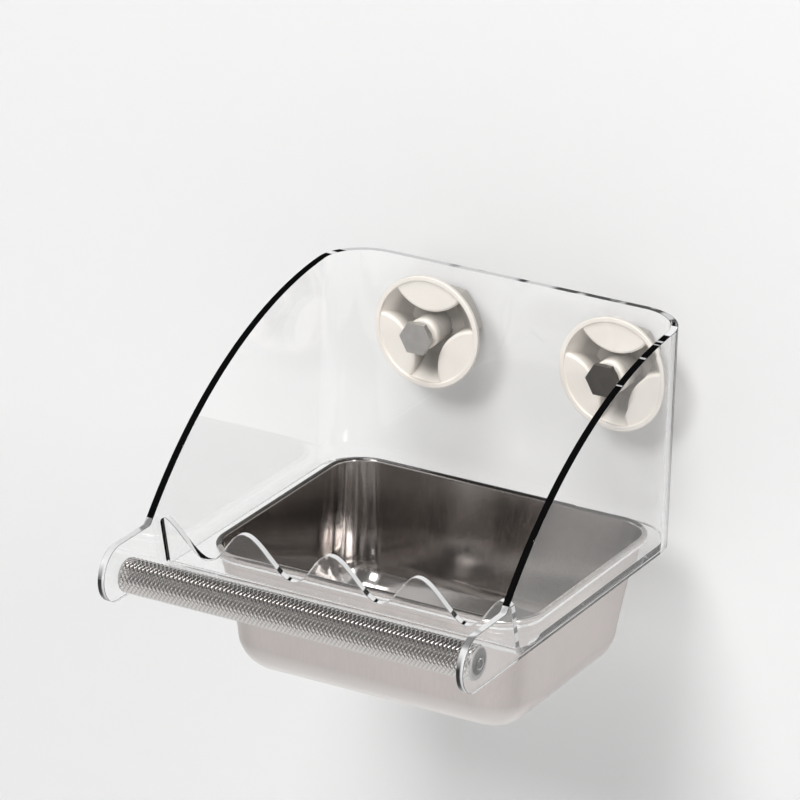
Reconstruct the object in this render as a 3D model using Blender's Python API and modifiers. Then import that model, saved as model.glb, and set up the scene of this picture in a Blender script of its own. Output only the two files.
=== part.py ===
"""Window bird feeder: a clear bent body on two suction mounts, with a shelf, a lift-out pan and a perch.

Metres, +Z up. The origin lies on the window's surface, midway between the two suction mounts.
+Y points at the window, +X to the right as seen from the room.
"""

import math

import bmesh
import bpy
from mathutils import Matrix

# Clear sheet body
BODY_WIDTH = 0.160
BODY_DEPTH = 0.1893
BODY_ABOVE_MOUNTS = 0.0332
BODY_BELOW_MOUNTS = 0.0605
SHEET = 0.003
BEND_RADIUS = 0.022
SWEEP_START = 0.0105
EAR_RADIUS = 0.0118
NOTCH_RADIUS = 0.0025
NOTCH_BEHIND_EAR_CENTRE = 0.02095

# Perch between the ears
PERCH_DIAMETER = 0.0143
PERCH_BEHIND_EAR_CENTRE = 0.0039
PERCH_BELOW_EAR_CENTRE = 0.0020
PIN_DIAMETER = 0.004
PIN_DEPTH = 0.0015
PERCH_CHAMFER = 0.0006

# Shelf and its scalloped guard
GUARD_BEHIND_EAR_CENTRE = 0.0337
GUARD_HEIGHT = 0.0234
GUARD_LEAN = math.radians(15.5)
GUARD_BEND_RADIUS = 0.003
SCALLOP_DEPTH = 0.0169
SCALLOP_WAVES = 4
SCALLOP_STEPS = 12
GUARD_CORNER_RADIUS = 0.003

# Lift-out pan
PAN_SIDE_MARGIN = 0.0057
PAN_BACK_MARGIN = 0.0050
PAN_FRONT_MARGIN = 0.0168
PAN_HEIGHT = 0.0562
PAN_SHEET = 0.0008
PAN_BEAD = 0.0026
PAN_CORNER_RADIUS = 0.017
PAN_LOW_CORNER_RADIUS = 0.018
PAN_FLOOR_CORNER_RADIUS = 0.004
PAN_SIDE_TAPER = 0.0037
PAN_END_TAPER = 0.0066
PAN_FLOOR_FILLET = 0.017
PAN_CORNER_STEPS = 6
PAN_FILLET_STEPS = 6
PAN_BEAD_STEPS = 9

# Suction mounts, measured out from the window
MOUNT_INSET = 0.0375
MOUNT_RING_RADIUS = 0.0240
MOUNT_RING_EDGE = 0.0018
MOUNT_RING_LIP = 0.0022
MOUNT_LENGTH = 0.0209
MOUNT_PAD_DROP = 0.0007
MOUNT_PAD_RADIUS = 0.0182
MOUNT_PAD_OFFSET = 0.0270
MOUNT_POCKET_DEPTH = 0.0110
MOUNT_WALL = 0.0018
HUB_DIAMETER = 0.0132
HUB_PROUD = 0.0030
HEX_BASE_RADIUS = 0.0162
HEX_BASE_BULGE = 0.0006
HEX_SIDE_STEPS = 5

# Suction pads and their inserts
PAD_LIP = 0.0010
PAD_LIP_RADIUS = 0.0136
PAD_DOME_RADIUS = 0.0122
PAD_DOME_HEIGHT = 0.0039
PAD_POST_RADIUS = 0.0070
PAD_POST_HEIGHT = 0.0079
PAD_CAVITY_RADIUS = 0.0100
PAD_CAVITY_DEPTH = 0.0012
PAD_FLOOR = 0.0024
INSERT_RADIUS = 0.0055
INSERT_LENGTH = 0.0050

# Bolts and washers
BOLT_DIAMETER = 0.008
BOLT_LENGTH = 0.025
BOLT_HEAD_FLATS = 0.013
BOLT_HEAD_HEIGHT = 0.0026
BOLT_TIP_CHAMFER = 0.0008
WASHER_DIAMETER = 0.0124
WASHER_THICKNESS = 0.0005

# Fits
SEAT_GAP = 0.0003
RUNNING_GAP = 0.0003
BOLT_CLEARANCE = 0.0003
PAN_CUTOUT_CLEARANCE = 0.0005
WELD = 0.00001

TURN_STEPS = 40
BEND_STEPS = 10
SWEEP_STEPS = 28
ARC_STEPS = 16
CORNER_STEPS = 4
OVERCUT = 0.005
SMOOTH_ANGLE = math.radians(35.0)
MOUNT_SMOOTH_ANGLE = math.radians(30.0)

# Places worked out from the sizes above
HALF_WIDTH = BODY_WIDTH / 2
INNER_HALF_WIDTH = HALF_WIDTH - SHEET
HUB_FACE = MOUNT_LENGTH + HUB_PROUD
PANEL_OUTER = -(HUB_FACE + SEAT_GAP)
PANEL_INNER = PANEL_OUTER - SHEET
BODY_FRONT = PANEL_OUTER - BODY_DEPTH
BODY_TOP = BODY_ABOVE_MOUNTS
BODY_BOTTOM = -BODY_BELOW_MOUNTS
EAR_CENTRE = (BODY_FRONT + EAR_RADIUS, BODY_BOTTOM + EAR_RADIUS)
PERCH_CENTRE = (EAR_CENTRE[0] + PERCH_BEHIND_EAR_CENTRE, EAR_CENTRE[1] - PERCH_BELOW_EAR_CENTRE)
SHELF_HALF_WIDTH = INNER_HALF_WIDTH - SEAT_GAP
SHELF_BACK = PANEL_INNER - SEAT_GAP
SHELF_TOP = BODY_BOTTOM + SHEET
GUARD_FOOT = EAR_CENTRE[0] + GUARD_BEHIND_EAR_CENTRE
RIM_HALF_X = INNER_HALF_WIDTH - PAN_SIDE_MARGIN
RIM_BACK = PANEL_INNER - PAN_BACK_MARGIN
RIM_FRONT = GUARD_FOOT + PAN_FRONT_MARGIN
RIM_HALF_Y = (RIM_BACK - RIM_FRONT) / 2
RIM_CENTRE_Y = (RIM_BACK + RIM_FRONT) / 2
RIM_BOTTOM = SHELF_TOP + SEAT_GAP
PAN_WALL_INSET = PAN_BEAD - PAN_SHEET
CUTOUT_INSET = PAN_WALL_INSET - PAN_CUTOUT_CLEARANCE
MOUNT_X = HALF_WIDTH - MOUNT_INSET
MOUNT_REAR = PAD_LIP + SEAT_GAP
BOLT_HOLE_RADIUS = BOLT_DIAMETER / 2 + BOLT_CLEARANCE
WASHER_SEAT = -PANEL_INNER + SEAT_GAP
BOLT_SEAT = WASHER_SEAT + WASHER_THICKNESS + SEAT_GAP

parts = None
cutters = None


def start_scene():
    """Empty the file and make one collection for the feeder and one for what cuts it."""
    global parts, cutters
    for old in list(bpy.data.objects):
        bpy.data.objects.remove(old, do_unlink=True)
    parts = bpy.data.collections.new("window_bird_feeder")
    cutters = bpy.data.collections.new("cutters")
    for collection in (parts, cutters):
        bpy.context.scene.collection.children.link(collection)


def make_material(name, colour, roughness, metallic=0.0, transmission=0.0):
    material = bpy.data.materials.new(name)
    material.use_nodes = True
    shader = material.node_tree.nodes["Principled BSDF"]
    shader.inputs["Base Color"].default_value = (*colour, 1.0)
    shader.inputs["Roughness"].default_value = roughness
    shader.inputs["Metallic"].default_value = metallic
    shader.inputs["Transmission Weight"].default_value = transmission
    return material


def arc(centre, radius, start, end, steps):
    """Points along an arc, from the start angle to the end angle in radians."""
    return [
        (
            centre[0] + radius * math.cos(start + (end - start) * step / steps),
            centre[1] + radius * math.sin(start + (end - start) * step / steps),
        )
        for step in range(steps + 1)
    ]


def rounded_rectangle(half_x, half_y, radius, steps):
    """Corner arcs of a rectangle about the origin, anticlockwise."""
    points = []
    corners = ((1, 1), (-1, 1), (-1, -1), (1, -1))
    for turn, (side_x, side_y) in enumerate(corners):
        centre = (side_x * (half_x - radius), side_y * (half_y - radius))
        start = turn * math.pi / 2
        points += arc(centre, radius, start, start + math.pi / 2, steps)
    return points


def object_from_mesh(name, mesh, collection):
    obj = bpy.data.objects.new(name, mesh)
    collection.objects.link(obj)
    if collection is cutters:
        obj.hide_render = True
        obj.display_type = "WIRE"
    return obj


def mesh_from(obj):
    """The evaluated mesh of an object, with its caps welded on."""
    bpy.context.view_layer.update()
    graph = bpy.context.evaluated_depsgraph_get()
    mesh = bpy.data.meshes.new_from_object(obj.evaluated_get(graph))
    work = bmesh.new()
    work.from_mesh(mesh)
    bmesh.ops.remove_doubles(work, verts=work.verts, dist=WELD)
    bmesh.ops.recalc_face_normals(work, faces=work.faces)
    work.to_mesh(mesh)
    work.free()
    return mesh


def extruded(name, outline, low, high, collection):
    """A flat outline in X and Y, filled and extruded from low to high along Z."""
    curve = bpy.data.curves.new(name, "CURVE")
    curve.dimensions = "2D"
    curve.fill_mode = "BOTH"
    curve.extrude = (high - low) / 2
    spline = curve.splines.new("POLY")
    spline.points.add(len(outline) - 1)
    spline.use_cyclic_u = True
    for point, (x, y) in zip(spline.points, outline):
        point.co = (x, y, 0.0, 1.0)
    flat = bpy.data.objects.new(name + "_outline", curve)
    bpy.context.scene.collection.objects.link(flat)
    mesh = mesh_from(flat)
    bpy.data.objects.remove(flat, do_unlink=True)
    mesh.transform(Matrix.Translation((0.0, 0.0, (low + high) / 2)))
    return object_from_mesh(name, mesh, collection)


def turned(name, profile, collection, closed=False):
    """A profile in X and Z, run top to bottom on its outer side and turned about Z."""
    mesh = bpy.data.meshes.new(name)
    edges = [(index, index + 1) for index in range(len(profile) - 1)]
    if closed:
        edges.append((len(profile) - 1, 0))
    mesh.from_pydata([(x, 0.0, z) for x, z in profile], edges, [])
    line = bpy.data.objects.new(name + "_profile", mesh)
    bpy.context.scene.collection.objects.link(line)
    screw = line.modifiers.new("turn", "SCREW")
    screw.axis = "Z"
    screw.angle = 2 * math.pi
    screw.steps = TURN_STEPS
    screw.render_steps = TURN_STEPS
    screw.use_merge_vertices = True
    screw.merge_threshold = WELD
    solid = mesh_from(line)
    bpy.data.objects.remove(line, do_unlink=True)
    return object_from_mesh(name, solid, collection)


def sideways(obj):
    """Turn a solid extruded along Z so that its outline lies in Y and Z and its length along X."""
    obj.data.transform(Matrix(((0, 0, 1, 0), (1, 0, 0, 0), (0, 1, 0, 0), (0, 0, 0, 1))))
    return obj


def combine(target, tool, operation):
    """Boolean of two solids, applied, with the tool removed."""
    cut = target.modifiers.new(operation.lower(), "BOOLEAN")
    cut.operation = operation
    cut.solver = "EXACT"
    cut.object = tool
    mesh = mesh_from(target)
    target.modifiers.clear()
    target.data = mesh
    bpy.data.objects.remove(tool, do_unlink=True)


def finish(obj, material, smooth_angle=SMOOTH_ANGLE):
    obj.data.materials.clear()
    obj.data.materials.append(material)
    obj.data.shade_smooth()
    obj.data.set_sharp_from_angle(angle=smooth_angle)
    return obj


def face_room(obj, x):
    """Stand a solid built along +Z on the window at x, pointing out into the room."""
    obj.location = (x, 0.0, 0.0)
    obj.rotation_euler = (math.pi / 2, 0.0, 0.0)


def hexagon(radius, bulge=0.0, steps=1):
    """A hexagon with a corner on +X, its sides bowed out by the bulge."""
    points = []
    for side in range(6):
        start = side * math.pi / 3
        for step in range(steps):
            part = step / steps
            along = (
                radius * (math.cos(start) * (1 - part) + math.cos(start + math.pi / 3) * part),
                radius * (math.sin(start) * (1 - part) + math.sin(start + math.pi / 3) * part),
            )
            push = bulge * 4 * part * (1 - part)
            middle = start + math.pi / 6
            points.append((along[0] + push * math.cos(middle), along[1] + push * math.sin(middle)))
    return points


def sheet_plan():
    """The bent sheet seen from above: two sides, two bends and the back, at the sheet's thickness."""
    outer = BEND_RADIUS
    inner = BEND_RADIUS - SHEET
    bend_y = PANEL_OUTER - outer
    bend_x = HALF_WIDTH - outer
    outside = [(HALF_WIDTH, BODY_FRONT - OVERCUT)]
    outside += arc((bend_x, bend_y), outer, 0.0, math.pi / 2, BEND_STEPS)
    outside += arc((-bend_x, bend_y), outer, math.pi / 2, math.pi, BEND_STEPS)
    outside.append((-HALF_WIDTH, BODY_FRONT - OVERCUT))
    inside = [(-INNER_HALF_WIDTH, BODY_FRONT - OVERCUT)]
    inside += arc((-bend_x, bend_y), inner, math.pi, math.pi / 2, BEND_STEPS)
    inside += arc((bend_x, bend_y), inner, math.pi / 2, 0.0, BEND_STEPS)
    inside.append((INNER_HALF_WIDTH, BODY_FRONT - OVERCUT))
    return outside + inside


def side_profile():
    """The side's outline in Y and Z: flat top, swept edge, notch, round ear and straight bottom."""
    back = PANEL_OUTER + OVERCUT
    start_y = PANEL_OUTER - SWEEP_START
    notch_y = EAR_CENTRE[0] + NOTCH_BEHIND_EAR_CENTRE
    notch_z = EAR_CENTRE[1] + EAR_RADIUS + NOTCH_RADIUS
    run = start_y - notch_y
    drop = BODY_TOP - notch_z
    sweep_radius = (run**2 + drop**2 - NOTCH_RADIUS**2) / (2 * (drop + NOTCH_RADIUS))
    centre = (start_y, BODY_TOP - sweep_radius)
    notch_angle = math.atan2(notch_z - centre[1], notch_y - centre[0])
    outline = [(back, BODY_BOTTOM), (back, BODY_TOP)]
    outline += arc(centre, sweep_radius, math.pi / 2, notch_angle, SWEEP_STEPS)
    outline += arc((notch_y, notch_z), NOTCH_RADIUS, notch_angle - math.pi, -math.pi / 2, CORNER_STEPS)
    outline += arc(EAR_CENTRE, EAR_RADIUS, math.pi / 2, 3 * math.pi / 2, ARC_STEPS)
    return outline


def make_body(material):
    body = extruded("acrylic_body", sheet_plan(), BODY_BOTTOM - OVERCUT, BODY_TOP + OVERCUT, parts)
    reach = HALF_WIDTH + OVERCUT
    keep = sideways(extruded("side_shape", side_profile(), -reach, reach, cutters))
    combine(body, keep, "INTERSECT")
    hole_radius = PIN_DIAMETER / 2 + RUNNING_GAP
    hole_end = INNER_HALF_WIDTH + PIN_DEPTH + SEAT_GAP
    ear_hole = sideways(extruded("ear_holes", circle(hole_radius), -hole_end, hole_end, cutters))
    ear_hole.data.transform(Matrix.Translation((0.0, *PERCH_CENTRE)))
    combine(body, ear_hole, "DIFFERENCE")
    for side in (-1, 1):
        bolt_hole = extruded(
            "bolt_hole", circle(BOLT_HOLE_RADIUS), HUB_FACE, -PANEL_INNER + OVERCUT, cutters
        )
        face_room(bolt_hole, side * MOUNT_X)
        combine(body, bolt_hole, "DIFFERENCE")
    return finish(body, material)


def circle(radius):
    return arc((0.0, 0.0), radius, 0.0, 2 * math.pi, TURN_STEPS)[:-1]


def guard_section():
    """The shelf and guard seen from the side, in Y and Z: flat, bend and leaning wall."""
    inner = GUARD_BEND_RADIUS
    outer = GUARD_BEND_RADIUS + SHEET
    bend = (GUARD_FOOT + outer, SHELF_TOP + inner)
    lean_angle = math.pi - GUARD_LEAN
    along = (-math.sin(GUARD_LEAN), math.cos(GUARD_LEAN))
    length = GUARD_HEIGHT + OVERCUT
    under = arc(bend, outer, 3 * math.pi / 2, lean_angle + 2 * GUARD_LEAN, BEND_STEPS)
    over = arc(bend, inner, lean_angle + 2 * GUARD_LEAN, 3 * math.pi / 2, BEND_STEPS)
    front_top = (under[-1][0] + along[0] * length, under[-1][1] + along[1] * length)
    back_top = (over[0][0] + along[0] * length, over[0][1] + along[1] * length)
    return [(SHELF_BACK, BODY_BOTTOM)] + under + [front_top, back_top] + over + [(SHELF_BACK, SHELF_TOP)]


def scallop_height(x):
    """The guard's top edge at x: a wave with a crest at each end."""
    turn = 2 * math.pi * SCALLOP_WAVES * (x + SHELF_HALF_WIDTH) / (2 * SHELF_HALF_WIDTH)
    return SHELF_TOP + GUARD_HEIGHT - SCALLOP_DEPTH * (1 - math.cos(turn)) / 2


def scallop_outline():
    """What is cut off the guard's top: above the wave, with both end corners rounded."""
    half = SHELF_HALF_WIDTH
    span = half - GUARD_CORNER_RADIUS
    steps = SCALLOP_WAVES * SCALLOP_STEPS
    wave_x = [-span + 2 * span * step / steps for step in range(steps + 1)]
    wave = [(x, scallop_height(x)) for x in wave_x]
    corner_z = scallop_height(span) - GUARD_CORNER_RADIUS
    left = arc((-span, corner_z), GUARD_CORNER_RADIUS, math.pi, math.pi / 2, CORNER_STEPS)
    right = arc((span, corner_z), GUARD_CORNER_RADIUS, math.pi / 2, 0.0, CORNER_STEPS)
    top = SHELF_TOP + GUARD_HEIGHT + 2 * OVERCUT
    reach = half + OVERCUT
    ends = [(reach, corner_z), (reach, top), (-reach, top), (-reach, corner_z)]
    return left[:-1] + wave + right[1:] + ends


def make_shelf(material):
    half = SHELF_HALF_WIDTH
    shelf = sideways(extruded("shelf", guard_section(), -half, half, parts))
    corner = BEND_RADIUS - SHEET - SEAT_GAP
    front = BODY_FRONT - OVERCUT
    plan = [(half, front)]
    plan += arc((half - corner, SHELF_BACK - corner), corner, 0.0, math.pi / 2, BEND_STEPS)
    plan += arc((corner - half, SHELF_BACK - corner), corner, math.pi / 2, math.pi, BEND_STEPS)
    plan.append((-half, front))
    combine(shelf, extruded("shelf_plan", plan, BODY_BOTTOM - OVERCUT, BODY_TOP, cutters), "INTERSECT")
    cutout = rounded_rectangle(
        RIM_HALF_X - CUTOUT_INSET,
        RIM_HALF_Y - CUTOUT_INSET,
        PAN_CORNER_RADIUS - CUTOUT_INSET,
        PAN_CORNER_STEPS,
    )
    hole = extruded("pan_hole", cutout, BODY_BOTTOM - OVERCUT, SHELF_TOP + OVERCUT, cutters)
    hole.location.y = RIM_CENTRE_Y
    combine(shelf, hole, "DIFFERENCE")
    waves = extruded("scallops", scallop_outline(), -RIM_CENTRE_Y, -BODY_FRONT, cutters)
    waves.rotation_euler.x = math.pi / 2
    combine(shelf, waves, "DIFFERENCE")
    return finish(shelf, material)


def pan_station(inset, taper_share, radius, z):
    """One rounded rectangle of the pan's surface, inset from the rim's outside."""
    half_x = RIM_HALF_X - inset - taper_share * PAN_SIDE_TAPER
    half_y = RIM_HALF_Y - inset - taper_share * PAN_END_TAPER
    outline = rounded_rectangle(half_x, half_y, max(radius, PAN_FLOOR_CORNER_RADIUS), PAN_CORNER_STEPS)
    return [(x, y, z) for x, y in outline]


def pan_fillet(wall_inset, fillet_radius, floor):
    """Stations down one side of the wall's lower fillet, from the wall to the floor."""
    stations = []
    centre = (fillet_radius, floor + fillet_radius)
    for offset, z in arc(centre, fillet_radius, math.pi, 3 * math.pi / 2, PAN_FILLET_STEPS):
        corner = PAN_LOW_CORNER_RADIUS - wall_inset + PAN_WALL_INSET - offset
        stations.append(pan_station(wall_inset + offset, 1.0, corner, z))
    return stations


def pan_stations():
    """The pan's surface from the floor's inside, up the wall, round the bead and down to the underside."""
    underside = RIM_BOTTOM + PAN_BEAD - PAN_HEIGHT
    inside_inset = PAN_WALL_INSET + PAN_SHEET
    bead = PAN_BEAD / 2
    stations = pan_fillet(inside_inset, PAN_FLOOR_FILLET - PAN_SHEET, underside + PAN_SHEET)[::-1]
    for inset, z in arc((bead, RIM_BOTTOM + bead), bead, 0.0, 3 * math.pi / 2, PAN_BEAD_STEPS):
        stations.append(pan_station(inset, 0.0, PAN_CORNER_RADIUS - inset, z))
    stations.append(pan_station(PAN_WALL_INSET, 0.0, PAN_CORNER_RADIUS - PAN_WALL_INSET, RIM_BOTTOM))
    return stations + pan_fillet(PAN_WALL_INSET, PAN_FLOOR_FILLET, underside)


def make_pan(material):
    """A loft of rounded rectangles over the pan's surface, closed by a flat floor inside and out."""
    work = bmesh.new()
    loops = [[work.verts.new(point) for point in station] for station in pan_stations()]
    for upper, lower in zip(loops, loops[1:]):
        for index in range(len(upper)):
            after = (index + 1) % len(upper)
            work.faces.new((upper[index], upper[after], lower[after], lower[index]))
    work.faces.new(loops[0])
    work.faces.new(reversed(loops[-1]))
    bmesh.ops.recalc_face_normals(work, faces=work.faces)
    mesh = bpy.data.meshes.new("seed_pan")
    work.to_mesh(mesh)
    work.free()
    pan = object_from_mesh("seed_pan", mesh, parts)
    pan.location.y = RIM_CENTRE_Y
    return finish(pan, material)


def make_perch(material):
    """The rod between the ears, with a short pin at each end in the ear's blind hole."""
    rod = PERCH_DIAMETER / 2
    pin = PIN_DIAMETER / 2
    shoulder = INNER_HALF_WIDTH - SEAT_GAP
    end = INNER_HALF_WIDTH + PIN_DEPTH
    half = [(0.0, end), (pin, end), (pin, shoulder)]
    half += [(rod - PERCH_CHAMFER, shoulder), (rod, shoulder - PERCH_CHAMFER)]
    profile = half + [(x, -z) for x, z in reversed(half)]
    perch = turned("perch_rod", profile, parts)
    perch.location = (0.0, *PERCH_CENTRE)
    perch.rotation_euler.y = math.pi / 2
    return finish(perch, material)


def star_outline():
    """The pocket between the three pads: the ring's inside less a round pad at each third of a turn."""
    inside = MOUNT_RING_RADIUS - MOUNT_RING_LIP
    cosine = (MOUNT_PAD_OFFSET**2 + inside**2 - MOUNT_PAD_RADIUS**2) / (2 * MOUNT_PAD_OFFSET * inside)
    half_pad = math.acos(cosine)
    points = []
    for third in range(3):
        middle = math.pi / 2 + third * 2 * math.pi / 3
        centre = (MOUNT_PAD_OFFSET * math.cos(middle), MOUNT_PAD_OFFSET * math.sin(middle))
        first = (inside * math.cos(middle - half_pad), inside * math.sin(middle - half_pad))
        start = math.atan2(first[1] - centre[1], first[0] - centre[0])
        half_turn = (middle + math.pi - start) % (2 * math.pi)
        half_turn = half_turn - 2 * math.pi if half_turn > math.pi else half_turn
        points += arc(centre, MOUNT_PAD_RADIUS, start, start + 2 * half_turn, ARC_STEPS)
        rim_end = middle + 2 * math.pi / 3 - half_pad
        points += arc((0.0, 0.0), inside, middle + half_pad, rim_end, CORNER_STEPS)[1:-1]
    return points


def make_mount(name, x, material):
    """The moulding: ring, pads, pocket and hub in front, hexagonal base with the pad's seat behind."""
    ring = MOUNT_RING_RADIUS
    inside = ring - MOUNT_RING_LIP
    shoulder = MOUNT_LENGTH - MOUNT_RING_EDGE
    floor = MOUNT_LENGTH - MOUNT_POCKET_DEPTH
    base_flat = HEX_BASE_RADIUS * math.cos(math.pi / 6)
    bowl_low = floor - MOUNT_WALL
    outside = [
        (0.0, MOUNT_LENGTH),
        (ring, MOUNT_LENGTH),
        (ring, shoulder),
        (base_flat, bowl_low),
        (0.0, bowl_low),
    ]
    mount = turned(name, outside, parts)
    hex_outline = hexagon(HEX_BASE_RADIUS, HEX_BASE_BULGE, HEX_SIDE_STEPS)
    combine(mount, extruded("hex_base", hex_outline, MOUNT_REAR, floor, cutters), "UNION")
    top = MOUNT_LENGTH + OVERCUT
    step = extruded("pad_step", circle(inside), MOUNT_LENGTH - MOUNT_PAD_DROP, top, cutters)
    combine(mount, step, "DIFFERENCE")
    pocket = extruded("pocket", star_outline(), floor - OVERCUT, top, cutters)
    bowl_inside = [
        (0.0, top + OVERCUT),
        (inside + OVERCUT, top + OVERCUT),
        (inside + OVERCUT, shoulder + MOUNT_WALL),
        (inside, shoulder),
        (base_flat - MOUNT_WALL, floor),
        (0.0, floor),
    ]
    combine(pocket, turned("bowl_inside", bowl_inside, cutters), "INTERSECT")
    combine(mount, pocket, "DIFFERENCE")
    hub = extruded("hub", circle(HUB_DIAMETER / 2), floor - MOUNT_WALL / 2, HUB_FACE, cutters)
    combine(mount, hub, "UNION")
    post = PAD_POST_RADIUS + SEAT_GAP
    dome = PAD_DOME_RADIUS + SEAT_GAP
    seat = [
        (0.0, HUB_FACE + OVERCUT),
        (BOLT_HOLE_RADIUS, HUB_FACE + OVERCUT),
        (BOLT_HOLE_RADIUS, PAD_POST_HEIGHT + SEAT_GAP),
        (post, PAD_POST_HEIGHT + SEAT_GAP),
        (post, PAD_DOME_HEIGHT + SEAT_GAP),
        (dome, MOUNT_REAR + SEAT_GAP),
        (dome, 0.0),
        (0.0, 0.0),
    ]
    combine(mount, turned("pad_seat", seat, cutters), "DIFFERENCE")
    face_room(mount, x)
    return finish(mount, material, MOUNT_SMOOTH_ANGLE)


def make_pad(name, x, material):
    """The soft pad: flat contact lip, shallow cavity, dome, and a post that holds the insert."""
    socket = INSERT_RADIUS + SEAT_GAP
    cavity = [
        (PAD_CAVITY_RADIUS * x, PAD_CAVITY_DEPTH * z)
        for x, z in arc((0.0, 0.0), 1.0, 0.0, math.pi / 2, CORNER_STEPS)
    ]
    cavity[-1] = (0.0, PAD_CAVITY_DEPTH)
    profile = [
        (0.0, PAD_FLOOR),
        (socket, PAD_FLOOR),
        (socket, PAD_POST_HEIGHT),
        (PAD_POST_RADIUS, PAD_POST_HEIGHT),
        (PAD_POST_RADIUS, PAD_DOME_HEIGHT),
        (PAD_DOME_RADIUS, MOUNT_REAR),
        (PAD_DOME_RADIUS, PAD_LIP),
        (PAD_LIP_RADIUS, PAD_LIP),
        (PAD_LIP_RADIUS, 0.0),
    ]
    pad = turned(name, profile + cavity, parts)
    face_room(pad, x)
    return finish(pad, material)


def make_insert(name, x, material):
    low = PAD_FLOOR + SEAT_GAP
    high = low + INSERT_LENGTH
    bore = BOLT_HOLE_RADIUS
    profile = [(bore, high), (INSERT_RADIUS, high), (INSERT_RADIUS, low), (bore, low)]
    insert = turned(name, profile, parts, closed=True)
    face_room(insert, x)
    return finish(insert, material)


def make_washer(name, x, material):
    low = WASHER_SEAT
    high = WASHER_SEAT + WASHER_THICKNESS
    outer = WASHER_DIAMETER / 2
    bore = BOLT_HOLE_RADIUS
    profile = [(bore, high), (outer, high), (outer, low), (bore, low)]
    washer = turned(name, profile, parts, closed=True)
    face_room(washer, x)
    return finish(washer, material)


def make_bolt(name, x, material):
    """A low hexagonal head with a corner to each side, on a plain shank with a chamfered tip."""
    across_corners = BOLT_HEAD_FLATS / 2 / math.cos(math.pi / 6)
    head_top = BOLT_SEAT + BOLT_HEAD_HEIGHT
    bolt = extruded(name, hexagon(across_corners), BOLT_SEAT, head_top, parts)
    shank = BOLT_DIAMETER / 2
    tip = BOLT_SEAT - BOLT_LENGTH
    inside_head = BOLT_SEAT + BOLT_HEAD_HEIGHT / 2
    profile = [
        (0.0, inside_head),
        (shank, inside_head),
        (shank, tip + BOLT_TIP_CHAMFER),
        (shank - BOLT_TIP_CHAMFER, tip),
        (0.0, tip),
    ]
    combine(bolt, turned("shank", profile, cutters), "UNION")
    face_room(bolt, x)
    return finish(bolt, material)


def main():
    start_scene()
    clear = make_material("clear_acrylic", (0.93, 0.93, 0.92), 0.05, transmission=0.9)
    shelf_clear = make_material("clear_shelf", (0.93, 0.93, 0.92), 0.05, transmission=0.9)
    steel = make_material("stainless_pan", (0.62, 0.59, 0.57), 0.30, metallic=1.0)
    rod_steel = make_material("knurled_steel", (0.66, 0.64, 0.62), 0.35, metallic=1.0)
    make_body(clear)
    make_shelf(shelf_clear)
    make_pan(steel)
    make_perch(rod_steel)
    for side, x in (("left", -MOUNT_X), ("right", MOUNT_X)):
        cream = make_material(side + "_cream_plastic", (0.88, 0.84, 0.76), 0.45)
        soft = make_material(side + "_soft_pad", (0.80, 0.80, 0.78), 0.30, transmission=0.6)
        brass = make_material(side + "_brass", (0.72, 0.56, 0.28), 0.35, metallic=1.0)
        nylon = make_material(side + "_clear_washer", (0.90, 0.90, 0.88), 0.25, transmission=0.7)
        bolt_steel = make_material(side + "_bolt_steel", (0.42, 0.40, 0.38), 0.30, metallic=1.0)
        make_mount(side + "_mount", x, cream)
        make_pad(side + "_suction_pad", x, soft)
        make_insert(side + "_threaded_insert", x, brass)
        make_washer(side + "_bolt_washer", x, nylon)
        make_bolt(side + "_hex_bolt", x, bolt_steel)


main()
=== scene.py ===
from math import acos, atan2, copysign, cos, pi, radians, sin, tan

import bmesh
import bpy
from mathutils import Matrix, Vector


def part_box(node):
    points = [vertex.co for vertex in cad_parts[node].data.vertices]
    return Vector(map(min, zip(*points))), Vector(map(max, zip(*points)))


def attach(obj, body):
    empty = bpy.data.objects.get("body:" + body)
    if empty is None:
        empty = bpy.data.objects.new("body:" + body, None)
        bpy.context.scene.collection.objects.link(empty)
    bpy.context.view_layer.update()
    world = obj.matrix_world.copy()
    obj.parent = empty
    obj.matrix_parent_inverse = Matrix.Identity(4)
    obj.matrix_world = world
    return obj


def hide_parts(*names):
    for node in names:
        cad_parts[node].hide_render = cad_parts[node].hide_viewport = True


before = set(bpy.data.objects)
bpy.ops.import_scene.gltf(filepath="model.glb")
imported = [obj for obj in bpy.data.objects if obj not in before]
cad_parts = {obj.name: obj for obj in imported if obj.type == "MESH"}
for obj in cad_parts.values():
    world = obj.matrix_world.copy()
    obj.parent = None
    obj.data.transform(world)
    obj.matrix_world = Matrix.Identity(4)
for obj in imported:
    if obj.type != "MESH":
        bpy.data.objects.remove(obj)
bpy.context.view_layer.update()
BODY_LOW, BODY_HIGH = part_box("acrylic_body")
SHELF_LOW, SHELF_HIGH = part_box("shelf")
PAN_LOW, PAN_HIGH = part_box("seed_pan")
PERCH_LOW, PERCH_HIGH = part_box("perch_rod")
MOUNT_LOW, MOUNT_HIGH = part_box("right_mount")
BOLT_LOW, BOLT_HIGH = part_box("right_hex_bolt")
WASHER_LOW, WASHER_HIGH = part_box("right_bolt_washer")
INSERT_LOW, INSERT_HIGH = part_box("right_threaded_insert")
PAD_LOW, PAD_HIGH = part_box("right_suction_pad")

bl_info = {
    "name": "Window bird feeder",
    "version": (1, 0, 0),
    "blender": (4, 5, 0),
    "location": "3D View > Sidebar > Feeder",
    "description": "Builds a clear window feeder with a steel pan, a knurled perch and two suction mounts",
    "category": "Object",
}

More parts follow.
